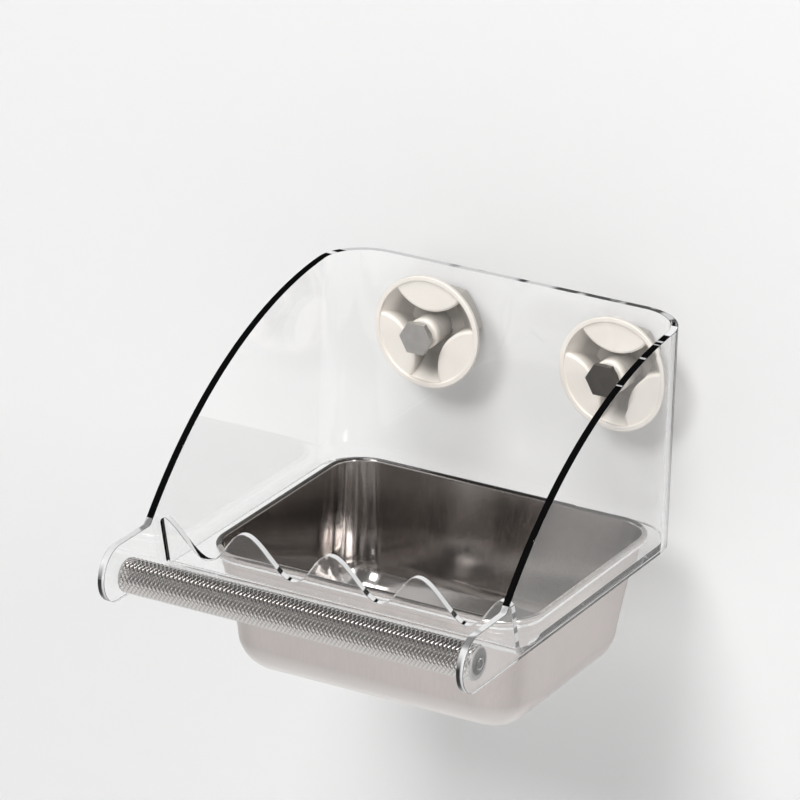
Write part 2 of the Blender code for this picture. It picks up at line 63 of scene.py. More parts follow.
TURN = 2 * pi
QUARTER = pi / 2
WELD = 1e-6
SPARE = 0.005  # how far a cutting tool reaches past what it cuts
PAN_MIDDLE = (PAN_LOW.y + PAN_HIGH.y) / 2
PERCH_AXIS = ((PERCH_LOW.y + PERCH_HIGH.y) / 2, (PERCH_LOW.z + PERCH_HIGH.z) / 2)
MOUNT_X = (MOUNT_LOW.x + MOUNT_HIGH.x) / 2
BOLT_HOLE = 0.0043  # radius that clears the bolt's thread
BOLT_HEAD = 0.0026  # height of the bolt's head
THREAD_RADIUS, THREAD_DEPTH, THREAD_PITCH, THREAD_CHAMFER = 0.004, 0.00062, 0.00125, 0.0008
BEND_STEPS = 28  # points round an upright bend
GUARD_STEPS = 20  # points round the guard's bend
HUB_STEPS = 72  # points round a hub and a hole
RING_STEPS = 96  # points round a pad and a washer
# Painted dark reflection: the guard's left end gets a dark band this wide.
GUARD_BAND = 0.0008  # dark margin at the guard's left end
# Pale slits in the right side's painted dark reflection, from the back, and runs of painted dark reflection
# in a wave, in parts of the wave
PALE_SLITS = ((0.0292, 0.0306), (0.0325, 0.0332), (0.0440, 0.0452), (0.0640, 0.0647))
CREST_RUNS = ((0.335, 0.378), (0.445, 0.475))


def length(name, default, description):
    """A size in metres that the sidebar shows."""
    return bpy.props.FloatProperty(
        name=name, description=description, default=default, min=0.0, precision=5, unit="LENGTH"
    )


def angle(name, degrees, description):
    return bpy.props.FloatProperty(
        name=name, description=description, default=radians(degrees), subtype="ANGLE"
    )


def count(name, default, description):
    return bpy.props.IntProperty(name=name, description=description, default=default, min=1)


def colour(name, default, description):
    return bpy.props.FloatVectorProperty(
        name=name, description=description, default=default, size=3, min=0.0, max=1.0, subtype="COLOR"
    )


class FeederSheetSizes(bpy.types.PropertyGroup):
    """Sizes of the two clear pieces."""

    sheet: length("Sheet", 0.003, "Thickness of the clear sheet")
    bend_radius: length("Bend radius", 0.022, "Outside radius of the body's two upright bends")
    sweep_start: length("Sweep start", 0.0105, "From the back face to where the sides begin to fall")
    ear_radius: length("Ear radius", 0.0118, "Round end of each side, about the perch")
    notch_radius: length("Notch radius", 0.0025, "Inside corner between the sweep and the ear")
    notch_set_back: length("Notch set back", 0.02095, "From the ear's centre back to the notch")
    edge_round: length("Edge round", 0.00022, "Flame polished arris along every cut edge")
    hole_gap: length("Hole gap", 0.0003, "Play round the perch pins")
    guard_foot: length("Guard foot", 0.0337, "From the ear's centre back to the guard's foot")
    guard_height: length("Guard height", 0.0234, "Crest of the guard above the shelf")
    guard_lean: angle("Guard lean", 15.5, "How far the guard leans forward")
    guard_bend: length("Guard bend", 0.003, "Inside radius of the guard's bend")
    guard_corner: length("Guard corner", 0.003, "Round at both ends of the guard")
    scallop_depth: length("Scallop depth", 0.0169, "From a crest to a trough")
    scallop_waves: count("Scallops", 4, "Waves along the guard")
    cutout_play: length("Cut-out play", 0.0005, "Room between the pan and the shelf's opening")


class FeederPanSizes(bpy.types.PropertyGroup):
    """Sizes of the drawn pan."""

    wall: length("Wall", 0.0008, "Thickness of the steel")
    bead: length("Bead", 0.0026, "Diameter of the rolled rim")
    rim_corner: length("Rim corner", 0.017, "Corner radius at the rim")
    low_corner: length("Low corner", 0.018, "Corner radius above the floor fillet")
    least_corner: length("Least corner", 0.004, "Corner radius of the flat floor")
    side_taper: length("Side taper", 0.0037, "How far the short walls lean in")
    end_taper: length("End taper", 0.0066, "How far the long walls lean in")
    floor_fillet: length("Floor fillet", 0.017, "Radius between wall and floor")


class FeederPerchSizes(bpy.types.PropertyGroup):
    """Sizes of the knurled perch."""

    pin: length("Pin", 0.002, "Radius of the plain pin at each end")
    shoulder: length("Shoulder", 0.0018, "From each end to the rod's full diameter")
    pin_chamfer: length("Pin chamfer", 0.0004, "Chamfer at each pin's end")
    chamfer: length("Chamfer", 0.0006, "Chamfer at each shoulder")
    around: count("Knurls around", 17, "Diamonds round the rod")
    along: count("Knurls along", 84, "Diamonds along the rod")
    groove: length("Groove", 0.00026, "Depth of the knurl")
    land: length("Land", 0.00050, "Slope from a groove to a diamond's flat top")


class FeederMountSizes(bpy.types.PropertyGroup):
    """Sizes of the suction mounts."""

    ring_edge: length("Ring edge", 0.0018, "Height of the ring's outer edge")
    ring_lip: length("Ring lip", 0.0022, "Width of the ring's front face")
    pad_drop: length("Pad drop", 0.0007, "How far the grip pads lie below the ring")
    pad_radius: length("Pad radius", 0.0182, "Radius of each grip pad")
    pad_offset: length("Pad offset", 0.0270, "From the axis to a pad's centre")
    pocket_depth: length("Pocket depth", 0.0110, "Depth of the star pocket")
    wall: length("Wall", 0.0018, "Thickness of the moulding")
    hub_radius: length("Hub radius", 0.0066, "Radius of the hub round the bolt")
    hub_proud: length("Hub proud", 0.0030, "How far the hub stands past the ring")
    base_radius: length("Base radius", 0.0162, "Hexagonal base across its corners, halved")
    base_bulge: length("Base bulge", 0.0006, "Bow of each side of the base")
    edge_round: length("Edge round", 0.0005, "Moulded round along the ring")
    pad_round: length("Pad round", 0.0014, "Round along each pad's edge")
    pad_draft: length("Pad draft", 0.0006, "How far a pad widens towards the pocket's floor")
    hub_round: length("Hub round", 0.0011, "Round at the hub's front")


class FeederColours(bpy.types.PropertyGroup):
    """Colours of the finishes, among them painted light and shade."""

    acrylic: colour("Clear sheet", (0.995, 0.996, 0.995), "Tint of the clear sheet")
    # Painted light: the cut edge colour is a pale face for the light that cut edges gather, and the grey and
    # dark edge colours are runs of painted reflection.
    edge: colour("Cut edge", (0.86, 0.86, 0.86), "Cut edges of the sheet, which gather light")
    painted_grey_edge: colour("Grey edge", (0.12, 0.12, 0.12), "Short duller runs along the pale edges")
    painted_dark_edge: colour("Dark edge", (0.004, 0.004, 0.004), "Cut edges that look away from the light")
    steel: colour("Pan outside", (0.65, 0.60, 0.585), "Drawn stainless steel, brushed outside")
    # Painted reflection: the fillet colour brightens the pan's outside towards the floor, for the bright
    # floor it mirrors.
    fillet: colour("Pan fillet", (0.94, 0.905, 0.89), "The same steel, burnished round the floor")
    polished: colour("Pan inside", (0.53, 0.504, 0.488), "The same steel polished inside")
    knurl: colour("Perch steel", (0.86, 0.83, 0.81), "Knurled steel")
    cream: colour("Cream plastic", (0.96, 0.905, 0.84), "Moulded mounts")
    # Painted shade: the deep cream darkens the pocket where shade falls.
    cream_painted_shade: colour("Deep cream", (0.38, 0.35, 0.315), "The same plastic down in the pocket")
    soft: colour("Soft pad", (0.93, 0.93, 0.91), "Suction pads")
    brass: colour("Brass", (0.75, 0.56, 0.26), "Threaded inserts")
    nylon: colour("Nylon", (0.90, 0.90, 0.87), "Bolt washers")
    bolt: colour("Bolt steel", (0.60, 0.58, 0.56), "Left hexagon bolt")
    # Painted reflection: the dull bolt colour is a darker copy of the bolt steel, for the right bolt's
    # darker reflection.
    painted_dark_bolt: colour("Dull bolt", (0.20, 0.19, 0.18), "Right hexagon bolt, the duller of the two")
    wall: colour("Wall", (0.87, 0.87, 0.868), "Backdrop")


# Work on the mesh in hand


def edit():
    bpy.ops.object.mode_set(mode="EDIT")


def leave():
    bpy.ops.object.mode_set(mode="OBJECT")


def take_all():
    bpy.ops.mesh.select_all(action="SELECT")


def clear_selection():
    """Leave edit mode with nothing selected, because an operator acts on all that is."""
    if bpy.context.mode != "OBJECT":
        leave()
    bpy.ops.object.select_all(action="DESELECT")


def hold(piece):
    """Make one piece the only one selected, and the active one."""
    clear_selection()
    piece.select_set(True)
    bpy.context.view_layer.objects.active = piece


def begin(name, primitive, **settings):
    """Start a piece from a primitive."""
    clear_selection()
    primitive(**settings)
    piece = bpy.context.object
    piece.name = name
    return piece


def settle():
    """Keep the active piece's place in its mesh."""
    bpy.ops.object.transform_apply(location=True, rotation=True, scale=True)


def pick(kind, wanted):
    """In edit mode, select the verts, edges or faces that wanted() says yes to."""
    bpy.ops.mesh.select_mode(type=kind)
    bpy.ops.mesh.select_all(action="DESELECT")
    mesh = bpy.context.edit_object.data
    work = bmesh.from_edit_mesh(mesh)
    for part in {"VERT": work.verts, "EDGE": work.edges, "FACE": work.faces}[kind]:
        part.select_set(wanted(part))
    work.select_flush_mode()
    bmesh.update_edit_mesh(mesh)


def extrude(vector):
    bpy.ops.mesh.extrude_region_move(TRANSFORM_OT_translate={"value": vector})


def close_up(piece):
    """Merge doubles, close slits and turn every face outwards."""
    hold(piece)
    edit()
    take_all()
    bpy.ops.mesh.remove_doubles(threshold=WELD)
    bpy.ops.mesh.dissolve_degenerate(threshold=WELD)
    bpy.ops.mesh.fill_holes(sides=6)
    bpy.ops.mesh.normals_make_consistent(inside=False)
    leave()
    return piece


def apply_modifier(piece, kind, **settings):
    hold(piece)
    bpy.ops.object.modifier_add(type=kind)
    modifier = piece.modifiers[-1]
    for name, value in settings.items():
        setattr(modifier, name, value)
    bpy.ops.object.modifier_apply(modifier=modifier.name)


def join_by(piece, tool, operation):
    """Boolean with a tool, which is then thrown away."""
    apply_modifier(piece, "BOOLEAN", object=tool, operation=operation, solver="EXACT")
    bpy.data.objects.remove(tool, do_unlink=True)
    if not piece.data.polygons:
        raise RuntimeError(piece.name + " was cut away")
    return close_up(piece)


def cut(piece, name, points, thickness, operation="DIFFERENCE"):
    """Boolean with a plate."""
    return join_by(piece, plate(name, points, thickness), operation)


def shade(piece, limit):
    hold(piece)
    bpy.ops.object.shade_smooth_by_angle(angle=radians(limit))
    return piece


def soften(piece, width):
    """Round the sharp edges, with the flats on both sides of each kept flat."""
    limit = 30.0
    shade(piece, limit)
    apply_modifier(
        piece,
        "BEVEL",
        width=width,
        segments=2,
        limit_method="ANGLE",
        angle_limit=radians(limit),
        miter_outer="MITER_SHARP",
        use_clamp_overlap=True,
        harden_normals=True,
    )
    return piece


def outlined(name, points, fill):
    """A circle whose verts are put on the points."""
    piece = begin(name, bpy.ops.mesh.primitive_circle_add, vertices=len(points), fill_type=fill)
    for vert, place in zip(piece.data.vertices, points):
        vert.co = place
    edit()
    take_all()
    return piece


def plate(name, points, thickness):
    """A filled outline of points, extruded by a vector."""
    piece = outlined(name, points, "NGON")
    extrude(thickness)
    leave()
    return close_up(piece)


def turned(name, profile, steps):
    """A closed profile of radius and height, spun about Z."""
    piece = outlined(name, [(radius, 0.0, height) for radius, height in profile], "NOTHING")
    bpy.ops.mesh.spin(steps=steps, angle=TURN, center=(0, 0, 0), axis=(0, 0, 1), use_auto_merge=True)
    leave()
    return close_up(piece)


def lofted(name, loops):
    """A cylinder cut into as many rings as there are loops, each ring then put on its loop."""
    around = len(loops[0])
    last = len(loops) - 1
    piece = begin(name, bpy.ops.mesh.primitive_cylinder_add, vertices=around, radius=1.0, depth=2.0)
    edit()
    pick("EDGE", lambda edge: abs(edge.verts[0].co.z - edge.verts[1].co.z) > 1.0)
    bpy.ops.mesh.subdivide(number_cuts=last - 1)
    leave()
    for vert in piece.data.vertices:
        ring = round((1.0 - vert.co.z) / 2.0 * last)
        place = round(atan2(vert.co.x, vert.co.y) / TURN * around) % around
        vert.co = loops[ring][place]
    return close_up(piece)


def sort_faces(piece, finishes, choose):
    """Give each face the finish that choose(centre, normal) names."""
    for finish in finishes.values():
        piece.data.materials.append(finish)
    places = {name: place for place, name in enumerate(finishes)}
    for face in piece.data.polygons:
        face.material_index = places[choose(face.center, face.normal)]


def put_in_place(piece, matrix):
    """Move a piece built at the origin to where it belongs."""
    hold(piece)
    piece.matrix_world = matrix
    settle()


def dress(piece, body, node, finish=None):
    """Give a piece its finish, the body it moves with and the node it stands for."""
    if finish:
        piece.data.materials.append(finish)
    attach(piece, body)
    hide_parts(node)


def make_pair(piece, left_name, node, body=None, finish=None, left_finish=None):
    """Stand a piece on the right mount's axis, and a like one with its own mesh on the left's."""
    put_in_place(piece, Matrix.Translation((MOUNT_X, 0.0, 0.0)) @ Matrix.Rotation(QUARTER, 4, "X"))
    hold(piece)
    bpy.ops.object.duplicate(linked=False)
    twin = bpy.context.object
    twin.name = left_name
    twin.location.x = -2 * MOUNT_X
    settle()
    for each, side, own in ((piece, "right_", finish), (twin, "left_", left_finish or finish)):
        dress(each, side + body if body else "feeder", side + node, own)


# Outlines


def arc(centre, radius, start, end, steps):
    """Points along an arc, from the start angle to the end angle."""
    turns = [start + (end - start) * step / steps for step in range(steps + 1)]
    return [(centre[0] + radius * cos(turn), centre[1] + radius * sin(turn)) for turn in turns]


def circle(centre, radius):
    return arc(centre, radius, 0.0, TURN, HUB_STEPS)[:-1]


def rounded_rectangle(half_x, half_y, radius, steps):
    points = []
    for turn, (side_x, side_y) in enumerate(((1, 1), (-1, 1), (-1, -1), (1, -1))):
        centre = (side_x * (half_x - radius), side_y * (half_y - radius))
        points += arc(centre, radius, turn * QUARTER, (turn + 1) * QUARTER, steps)
    return points


def upright(points, x):
    """Points in Y and Z, on a plane across X."""
    return [(x, y, z) for y, z in points]


def level(points, z):
    return [(x, y, z) for x, y in points]


def ring_section(bore, low, high):
    """A ring's section, from its box and its bore."""
    outer, top, bottom = (high.x - low.x) / 2, -low.y, -high.y
    return [(bore, top), (outer, top), (outer, bottom), (bore, bottom)]


def eased(points, rounds, steps=5):
    """A closed outline with some corners rounded: rounds gives the radius at a corner's place."""
    outline = []
    for place, point in enumerate(points):
        if place not in rounds:
            outline.append(point)
            continue
        radius, here = rounds[place], Vector(point)
        before = (Vector(points[place - 1]) - here).normalized()
        after = (Vector(points[(place + 1) % len(points)]) - here).normalized()
        half = before.angle(after) / 2
        reach = radius / tan(half)
        centre = here + (before + after).normalized() * radius / sin(half)
        first, last = here + before * reach - centre, here + after * reach - centre
        for step in range(steps + 1):
            spoke = first.lerp(last, step / steps)
            outline.append(tuple(centre + spoke.normalized() * radius))
    return outline


def hexagon(radius, bulge, steps):
    """A hexagon with a corner on +X and bowed sides."""
    points = []
    for side in range(6):
        start, end = side * TURN / 6, (side + 1) * TURN / 6
        middle = start + TURN / 12
        for part in (step / steps for step in range(steps)):
            push = bulge * 4 * part * (1 - part)
            x = radius * (cos(start) * (1 - part) + cos(end) * part)
            y = radius * (sin(start) * (1 - part) + sin(end) * part)
            points.append((x + push * cos(middle), y + push * sin(middle)))
    return points


def side_outline(sizes):
    """The body's side: flat top, swept edge, notch, round ear and straight bottom, in Y and Z."""
    back, top, bottom = BODY_HIGH.y, BODY_HIGH.z, BODY_LOW.z
    ear = (BODY_LOW.y + sizes.ear_radius, bottom + sizes.ear_radius)
    start = back - sizes.sweep_start
    notch = (ear[0] + sizes.notch_set_back, ear[1] + sizes.ear_radius + sizes.notch_radius)
    run, drop = start - notch[0], top - notch[1]
    radius = (run**2 + drop**2 - sizes.notch_radius**2) / (2 * (drop + sizes.notch_radius))
    centre = (start, top - radius)
    turn = atan2(notch[1] - centre[1], notch[0] - centre[0])
    outline = [(back + SPARE, bottom), (back + SPARE, top)]
    outline += arc(centre, radius, QUARTER, turn, 96)
    outline += arc(notch, sizes.notch_radius, turn - pi, -QUARTER, 12)
    outline += arc(ear, sizes.ear_radius, QUARTER, 3 * QUARTER, 56)
    return outline


def shelf_section(sizes):
    """Flat shelf, bend and leaning guard, in Y and Z."""
    inner, outer = sizes.guard_bend, sizes.guard_bend + sizes.sheet
    bottom = SHELF_LOW.z
    floor = bottom + sizes.sheet
    foot = BODY_LOW.y + sizes.ear_radius + sizes.guard_foot
    bend = (foot + outer, floor + inner)
    lean = pi + sizes.guard_lean
    along = (-sin(sizes.guard_lean), cos(sizes.guard_lean))
    rise = sizes.guard_height + SPARE
    under = arc(bend, outer, 3 * QUARTER, lean, GUARD_STEPS)
    over = arc(bend, inner, lean, 3 * QUARTER, GUARD_STEPS)
    tops = [(y + along[0] * rise, z + along[1] * rise) for y, z in (under[-1], over[0])]
    return [(SHELF_HIGH.y, bottom)] + under + tops + over + [(SHELF_HIGH.y, floor)]


def scallops(sizes):
    """What comes off above the guard's wave, in X and Z, with both end corners rounded."""
    half = SHELF_HIGH.x
    crest = SHELF_LOW.z + sizes.sheet + sizes.guard_height
    corner = sizes.guard_corner
    span = half - corner

    def height(x):
        turn = TURN * sizes.scallop_waves * (x + half) / (2 * half)
        return crest - sizes.scallop_depth * (1 - cos(turn)) / 2

    steps = sizes.scallop_waves * 40
    wave = [(x, height(x)) for x in (-span + 2 * span * step / steps for step in range(steps + 1))]
    low = height(span) - corner
    left = arc((-span, low), corner, pi, QUARTER, 10)
    right = arc((span, low), corner, QUARTER, 0.0, 10)
    reach, top = half + SPARE, crest + 2 * SPARE
    return left[:-1] + wave + right[1:] + [(reach, low), (reach, top), (-reach, top), (-reach, low)]


def star(sizes, inside, radius):
    """A mount's pocket: the ring's inside less a round pad at each third of a turn."""
    offset = sizes.pad_offset
    half_pad = acos((offset**2 + inside**2 - radius**2) / (2 * offset * inside))
    points = []
    for third in range(3):
        middle = QUARTER + third * TURN / 3
        centre = (offset * cos(middle), offset * sin(middle))
        first = (inside * cos(middle - half_pad), inside * sin(middle - half_pad))
        start = atan2(first[1] - centre[1], first[0] - centre[0])
        half_turn = (middle + pi - start) % TURN
        half_turn = half_turn - TURN if half_turn > pi else half_turn
        points += arc(centre, radius, start, start + 2 * half_turn, 40)
        points += arc((0, 0), inside, middle + half_pad, middle + TURN / 3 - half_pad, 14)[1:-1]
    return points


def thread(low, high):
    """Rings of a bolt's shank, whose radius falls and rises once in each pitch."""
    around, per_turn, most_rings = 32, 5, 100
    rings = min(most_rings, int((high - low) / THREAD_PITCH * per_turn))
    loops = []
    for z in (high + (low - high) * ring / rings for ring in range(rings + 1)):
        most = THREAD_RADIUS - max(0.0, THREAD_CHAMFER - (z - low))
        points = []
        for turn in (place / around for place in range(around)):
            phase = (z / THREAD_PITCH + turn) % 1.0
            radius = min(most, THREAD_RADIUS - THREAD_DEPTH * (1 - abs(2 * phase - 1)))
            points.append((radius * cos(turn * TURN), radius * sin(turn * TURN), z))
        loops.append(points)
    return loops


# Finishes


class Value:
    """A shader socket that can be used in plain arithmetic."""

    def __init__(self, finish, socket):
        self.finish = finish
        self.socket = socket

    def maths(self, operation, first, second=0.0):
        node = self.finish.node("Math", {"operation": operation}, {0: first, 1: second})
        return Value(self.finish, node.outputs[0])

    def __add__(self, other):
        return self.maths("ADD", self, other)

    __radd__ = __add__

    def __sub__(self, other):
        return self.maths("SUBTRACT", self, other)

    def __rsub__(self, other):
        return self.maths("SUBTRACT", other, self)

    def __mul__(self, other):
        return self.maths("MULTIPLY", self, other)

    __rmul__ = __mul__

    def __truediv__(self, other):
        return self.maths("DIVIDE", self, other)

    def __pow__(self, other):
        return self.maths("POWER", self, other)

    def __abs__(self):
        return self.maths("ABSOLUTE", self)

    def fraction(self):
        return self.maths("FRACT", self)


class Finish:
    """A node material under construction."""

    def __init__(self, name, tree=None):
        if tree is None:
            self.material = bpy.data.materials.new(name)
            self.material.use_nodes = True
            tree = self.material.node_tree
        self.tree = tree
        self.tree.nodes.clear()
        self.place = None

    def node(self, kind, settings=None, sockets=None):
        """Add a node: its settings first, then the values or links of its sockets."""
        node = self.tree.nodes.new("ShaderNode" + kind)
        for name, value in (settings or {}).items():
            setattr(node, name, value)
        for name, value in (sockets or {}).items():
            if isinstance(value, Value):
                value = value.socket
            if isinstance(value, bpy.types.NodeSocket):
                self.tree.links.new(value, node.inputs[name])
            else:
                node.inputs[name].default_value = value
        return node

    def given(self, kind, name):
        """A value that a node gives of itself, such as the kind of ray."""
        return Value(self, self.node(kind).outputs[name])

    def where(self):
        """The piece's own coordinates, which are the feeder's."""
        if self.place is None:
            self.place = self.node("TexCoord").outputs["Object"]
        return self.place

    def axes(self, vector=None):
        parts = self.node("SeparateXYZ", None, {0: vector or self.where()})
        return [Value(self, part) for part in parts.outputs]

    def stretched(self, scale, turn=(0.0, 0.0, 0.0)):
        sockets = {"Vector": self.where(), "Scale": scale, "Rotation": turn}
        return self.node("Mapping", None, sockets).outputs["Vector"]

    def noise(self, scale, detail=2.0, vector=None, distortion=0.0):
        sockets = {"Vector": vector or self.where(), "Scale": scale, "Detail": detail}
        sockets["Distortion"] = distortion
        return Value(self, self.node("TexNoise", None, sockets).outputs[0])

    def between(self, value, low, high, to_low=0.0, to_high=1.0):
        """A value rescaled from one range to another, and held within it."""
        sockets = {"Value": value, "From Min": low, "From Max": high, "To Min": to_low, "To Max": to_high}
        return Value(self, self.node("MapRange", {"clamp": True}, sockets).outputs[0])

    def spread(self, noise, low=0.0, high=1.0):
        """A noise's usual range rescaled."""
        return self.between(noise, 0.3, 0.7, low, high)

    def blend(self, factor, first, second):
        """Two colours mixed by a value."""
        ends = [end if isinstance(end, bpy.types.NodeSocket) else (*end, 1.0) for end in (first, second)]
        node = self.node("Mix", {"data_type": "RGBA"}, {"Factor": factor, 6: ends[0], 7: ends[1]})
        return node.outputs[2]

    def mottled(self, noise, base, low, high):
        """A colour that a noise makes darker and lighter."""
        return self.blend(self.spread(noise), tinted(base, low), tinted(base, high))

    def bump(self, height, strength, distance):
        sockets = {"Height": height, "Strength": strength, "Distance": distance}
        return self.node("Bump", None, sockets).outputs["Normal"]

    def shader(self, **sockets):
        """The main shader. Socket names are written with underscores for spaces."""
        sockets = {name.replace("_", " "): value for name, value in sockets.items()}
        return self.node("BsdfPrincipled", None, sockets).outputs[0]

    def clear(self, tint=(1.0, 1.0, 1.0)):
        return self.node("BsdfTransparent", None, {"Color": (*tint, 1.0)}).outputs[0]

    def mixed(self, factor, first, second):
        return self.node("MixShader", None, {0: factor, 1: first, 2: second}).outputs[0]

    def lets_lamps_through(self, glass, tint):
        """Glass whose shadow is as pale as the real sheet's."""
        passing = self.given("LightPath", "Is Shadow Ray") + self.given("LightPath", "Is Diffuse Ray")
        return self.mixed(passing, glass, self.clear(tint))

    def output(self, surface):
        self.node("OutputMaterial", None, {"Surface": surface})
        return self.material


def tinted(base, amount):
    return tuple(min(1.0, part * amount) for part in base)


def acrylic_finish(colours):
    """Clear cast sheet: very slightly wavy, with hairline wipe marks."""
    finish = Finish("clear_acrylic_finish")
    wave = finish.noise(26.0, 1.0)
    hair = finish.noise(1.0, 3.0, finish.stretched((55.0, 420.0, 900.0), (0.5, 0.35, 0.6)))
    smear = finish.between(finish.noise(38.0, 4.0), 0.45, 0.75)
    glass = finish.shader(
        Base_Color=(*colours.acrylic, 1.0),
        Roughness=finish.between(hair, 0.66, 0.74) * 0.02 + smear * 0.004,
        IOR=1.38,
        Transmission_Weight=1.0,
        Normal=finish.bump(wave, 0.03, 0.0006),
    )
    return finish.output(finish.lets_lamps_through(glass, (0.998, 0.998, 0.997)))


def bands(finish, value, edges, soft):
    """One from each start to its end, with soft borders."""
    total = 0.0
    for start, end in edges:
        on, off = (finish.between(value, edge, edge + soft) for edge in (start, end))
        total = on - off + total
    return total


def on_right(finish, x):
    return finish.between(x, -0.001, 0.001)


def scattered(finish):
    """Short runs of painted dark reflection here and there."""
    return finish.between(finish.noise(95.0, 1.0), 0.54, 0.62)


def along_the_top(finish):
    """Runs of painted grey reflection that grow longer and closer towards the right."""
    x, _, _ = finish.axes()
    return finish.between(finish.noise(95.0, 1.0) + x * 2.6, 0.52, 0.64)


def broken_near_the_back(finish):
    """Painted dark reflection all along, but for slits near the back of the right side and a pale stretch at
    each bend.
    """
    x, y, _ = finish.axes()
    set_back = BODY_HIGH.y - y
    right = on_right(finish, x)
    slits = bands(finish, set_back, PALE_SLITS, 0.0002) * right * 0.6
    stretch = [right * 0.0070 + near for near in (0.0171, 0.0165)]
    return 1.0 - slits - finish.between(set_back, *stretch)


def close_set(finish):
    """Bands of painted dark reflection with longer pale ones between them, all the way up."""
    _, _, z = finish.axes()
    return finish.between((z * 150.0).fraction(), 0.55, 0.63)


def below_crests(finish):
    """Runs of painted dark reflection below each crest: a long tapering one on the first, two short slanting
    ones on the rest.
    """
    sizes = bpy.context.scene.feeder_sheet
    half = SHELF_HIGH.x
    foot_y, foot_z = shelf_section(sizes)[GUARD_STEPS + 1]
    x, y, z = finish.axes()
    across = (y - foot_y) * cos(sizes.guard_lean) + (z - foot_z) * sin(sizes.guard_lean)
    across = across / sizes.sheet
    turns = (x + half) * (sizes.scallop_waves / (2 * half))
    phase = turns.fraction()
    long_run = finish.between(across * 0.17 - abs(phase - 0.43), 0.0, 0.008)
    short_runs = bands(finish, phase + across * 0.012, CREST_RUNS, 0.006)
    first = finish.between(turns, 0.98, 1.0, 1.0, 0.0)
    return long_run * first + short_runs * (1.0 - first)


def round_the_front(finish):
    """A strip of painted dark reflection down the left arris of each ear's front, fading upwards, and grey
    runs of painted reflection behind it.
    """
    sizes = bpy.context.scene.feeder_sheet
    radius, sheet, half = sizes.ear_radius, sizes.sheet, BODY_HIGH.x
    front, middle = BODY_LOW.y, BODY_LOW.z + radius
    x, y, z = finish.axes()
    across = x + half - on_right(finish, x) * (2 * half - sheet)
    strip = finish.between(across, sheet * 0.7, sheet * 0.5)
    near = finish.between(y, front + radius * 0.45, front + radius * 0.12)
    low = finish.between(z, middle + radius * 0.6, middle + radius * 0.1)
    return near * low * strip + (1.0 - near) * scattered(finish) * 0.7


def painted_edge_finish(name, colours, dark, runs, outside=1.0, within=0.0):
    """Cut edge of the clear sheet, painted: a pale face for the light the edge gathers, with darker runs of
    painted reflection, over clear sheet.

    How much the face covers is given as seen from outside and from within the sheet.
    """
    finish = Finish(name)
    rough = finish.spread(finish.noise(700.0), 0.08, 0.16)
    face = finish.shader(
        Base_Color=finish.blend(runs(finish), colours.edge, dark),
        Roughness=rough,
        IOR=1.49,
        Specular_IOR_Level=0.0 if within else 0.5,
    )
    glass = finish.shader(
        Base_Color=(*colours.acrylic, 1.0), Roughness=rough * 0.1, IOR=1.49, Transmission_Weight=1.0
    )
    cover = finish.given("NewGeometry", "Backfacing") * (within - outside) + outside
    return finish.output(finish.lets_lamps_through(finish.mixed(cover, glass, face), (0.9, 0.9, 0.9)))


def welded_finish(colours):
    """Edge run in with solvent: hardly to be seen, with a few small trapped bubbles."""
    finish = Finish("welded_edge_finish")
    bubbles = finish.between(finish.noise(500.0, 1.0), 0.68, 0.72)
    rough = finish.between(bubbles, 0.0, 1.0, 0.1, 0.3)
    face = finish.shader(Base_Color=(*colours.edge, 1.0), Roughness=rough, Specular_IOR_Level=0.0)
    return finish.output(finish.mixed(bubbles * 0.4 + 0.08, finish.clear(), face))


def steel_finish(name, steel, rough, grain, painted_bright=None, below=None):
    """Drawn stainless steel with upright drawing marks and faint smears, and a painted reflection making it
    brighter below if so given.
    """
    finish = Finish(name)
    marks = finish.noise(1.0, 4.0, finish.stretched((grain, grain, grain * 0.012)))
    smear = finish.noise(45.0, 3.0)
    base = finish.mottled(smear * 0.5 + marks * 0.5, steel, 0.94, 1.05)
    # Painted reflection: brighter towards the bottom.
    if painted_bright is not None:
        _, _, z = finish.axes()
        base = finish.blend(finish.between(z, *below), base, painted_bright)
    metal = finish.shader(
        Base_Color=base,
        Metallic=1.0,
        Roughness=finish.spread(marks * 0.6 + smear * 0.4, rough * 0.8, rough * 1.25),
        Normal=finish.bump(marks, 0.06, 0.0001),
    )
    return finish.output(metal)


def knurl_finish(colours, outer, depth):
    """Bright steel, duller down in the grooves and darker there with painted shade."""
    finish = Finish("knurled_steel_painted_groove_shade")
    _, y, z = finish.axes()
    y, z = y - PERCH_AXIS[0], z - PERCH_AXIS[1]
    top = finish.between((y * y + z * z) ** 0.5, outer - depth, outer)
    grit = finish.noise(900.0)
    metal = finish.shader(
        # Painted shade: the base colour darkens down in the grooves.
        Base_Color=finish.blend(top, tinted(colours.knurl, 0.62), colours.knurl),
        Metallic=1.0,
        Roughness=0.17 - top * 0.07 + grit * 0.05,
        Normal=finish.bump(grit, 0.08, 0.00005),
    )
    return finish.output(metal)


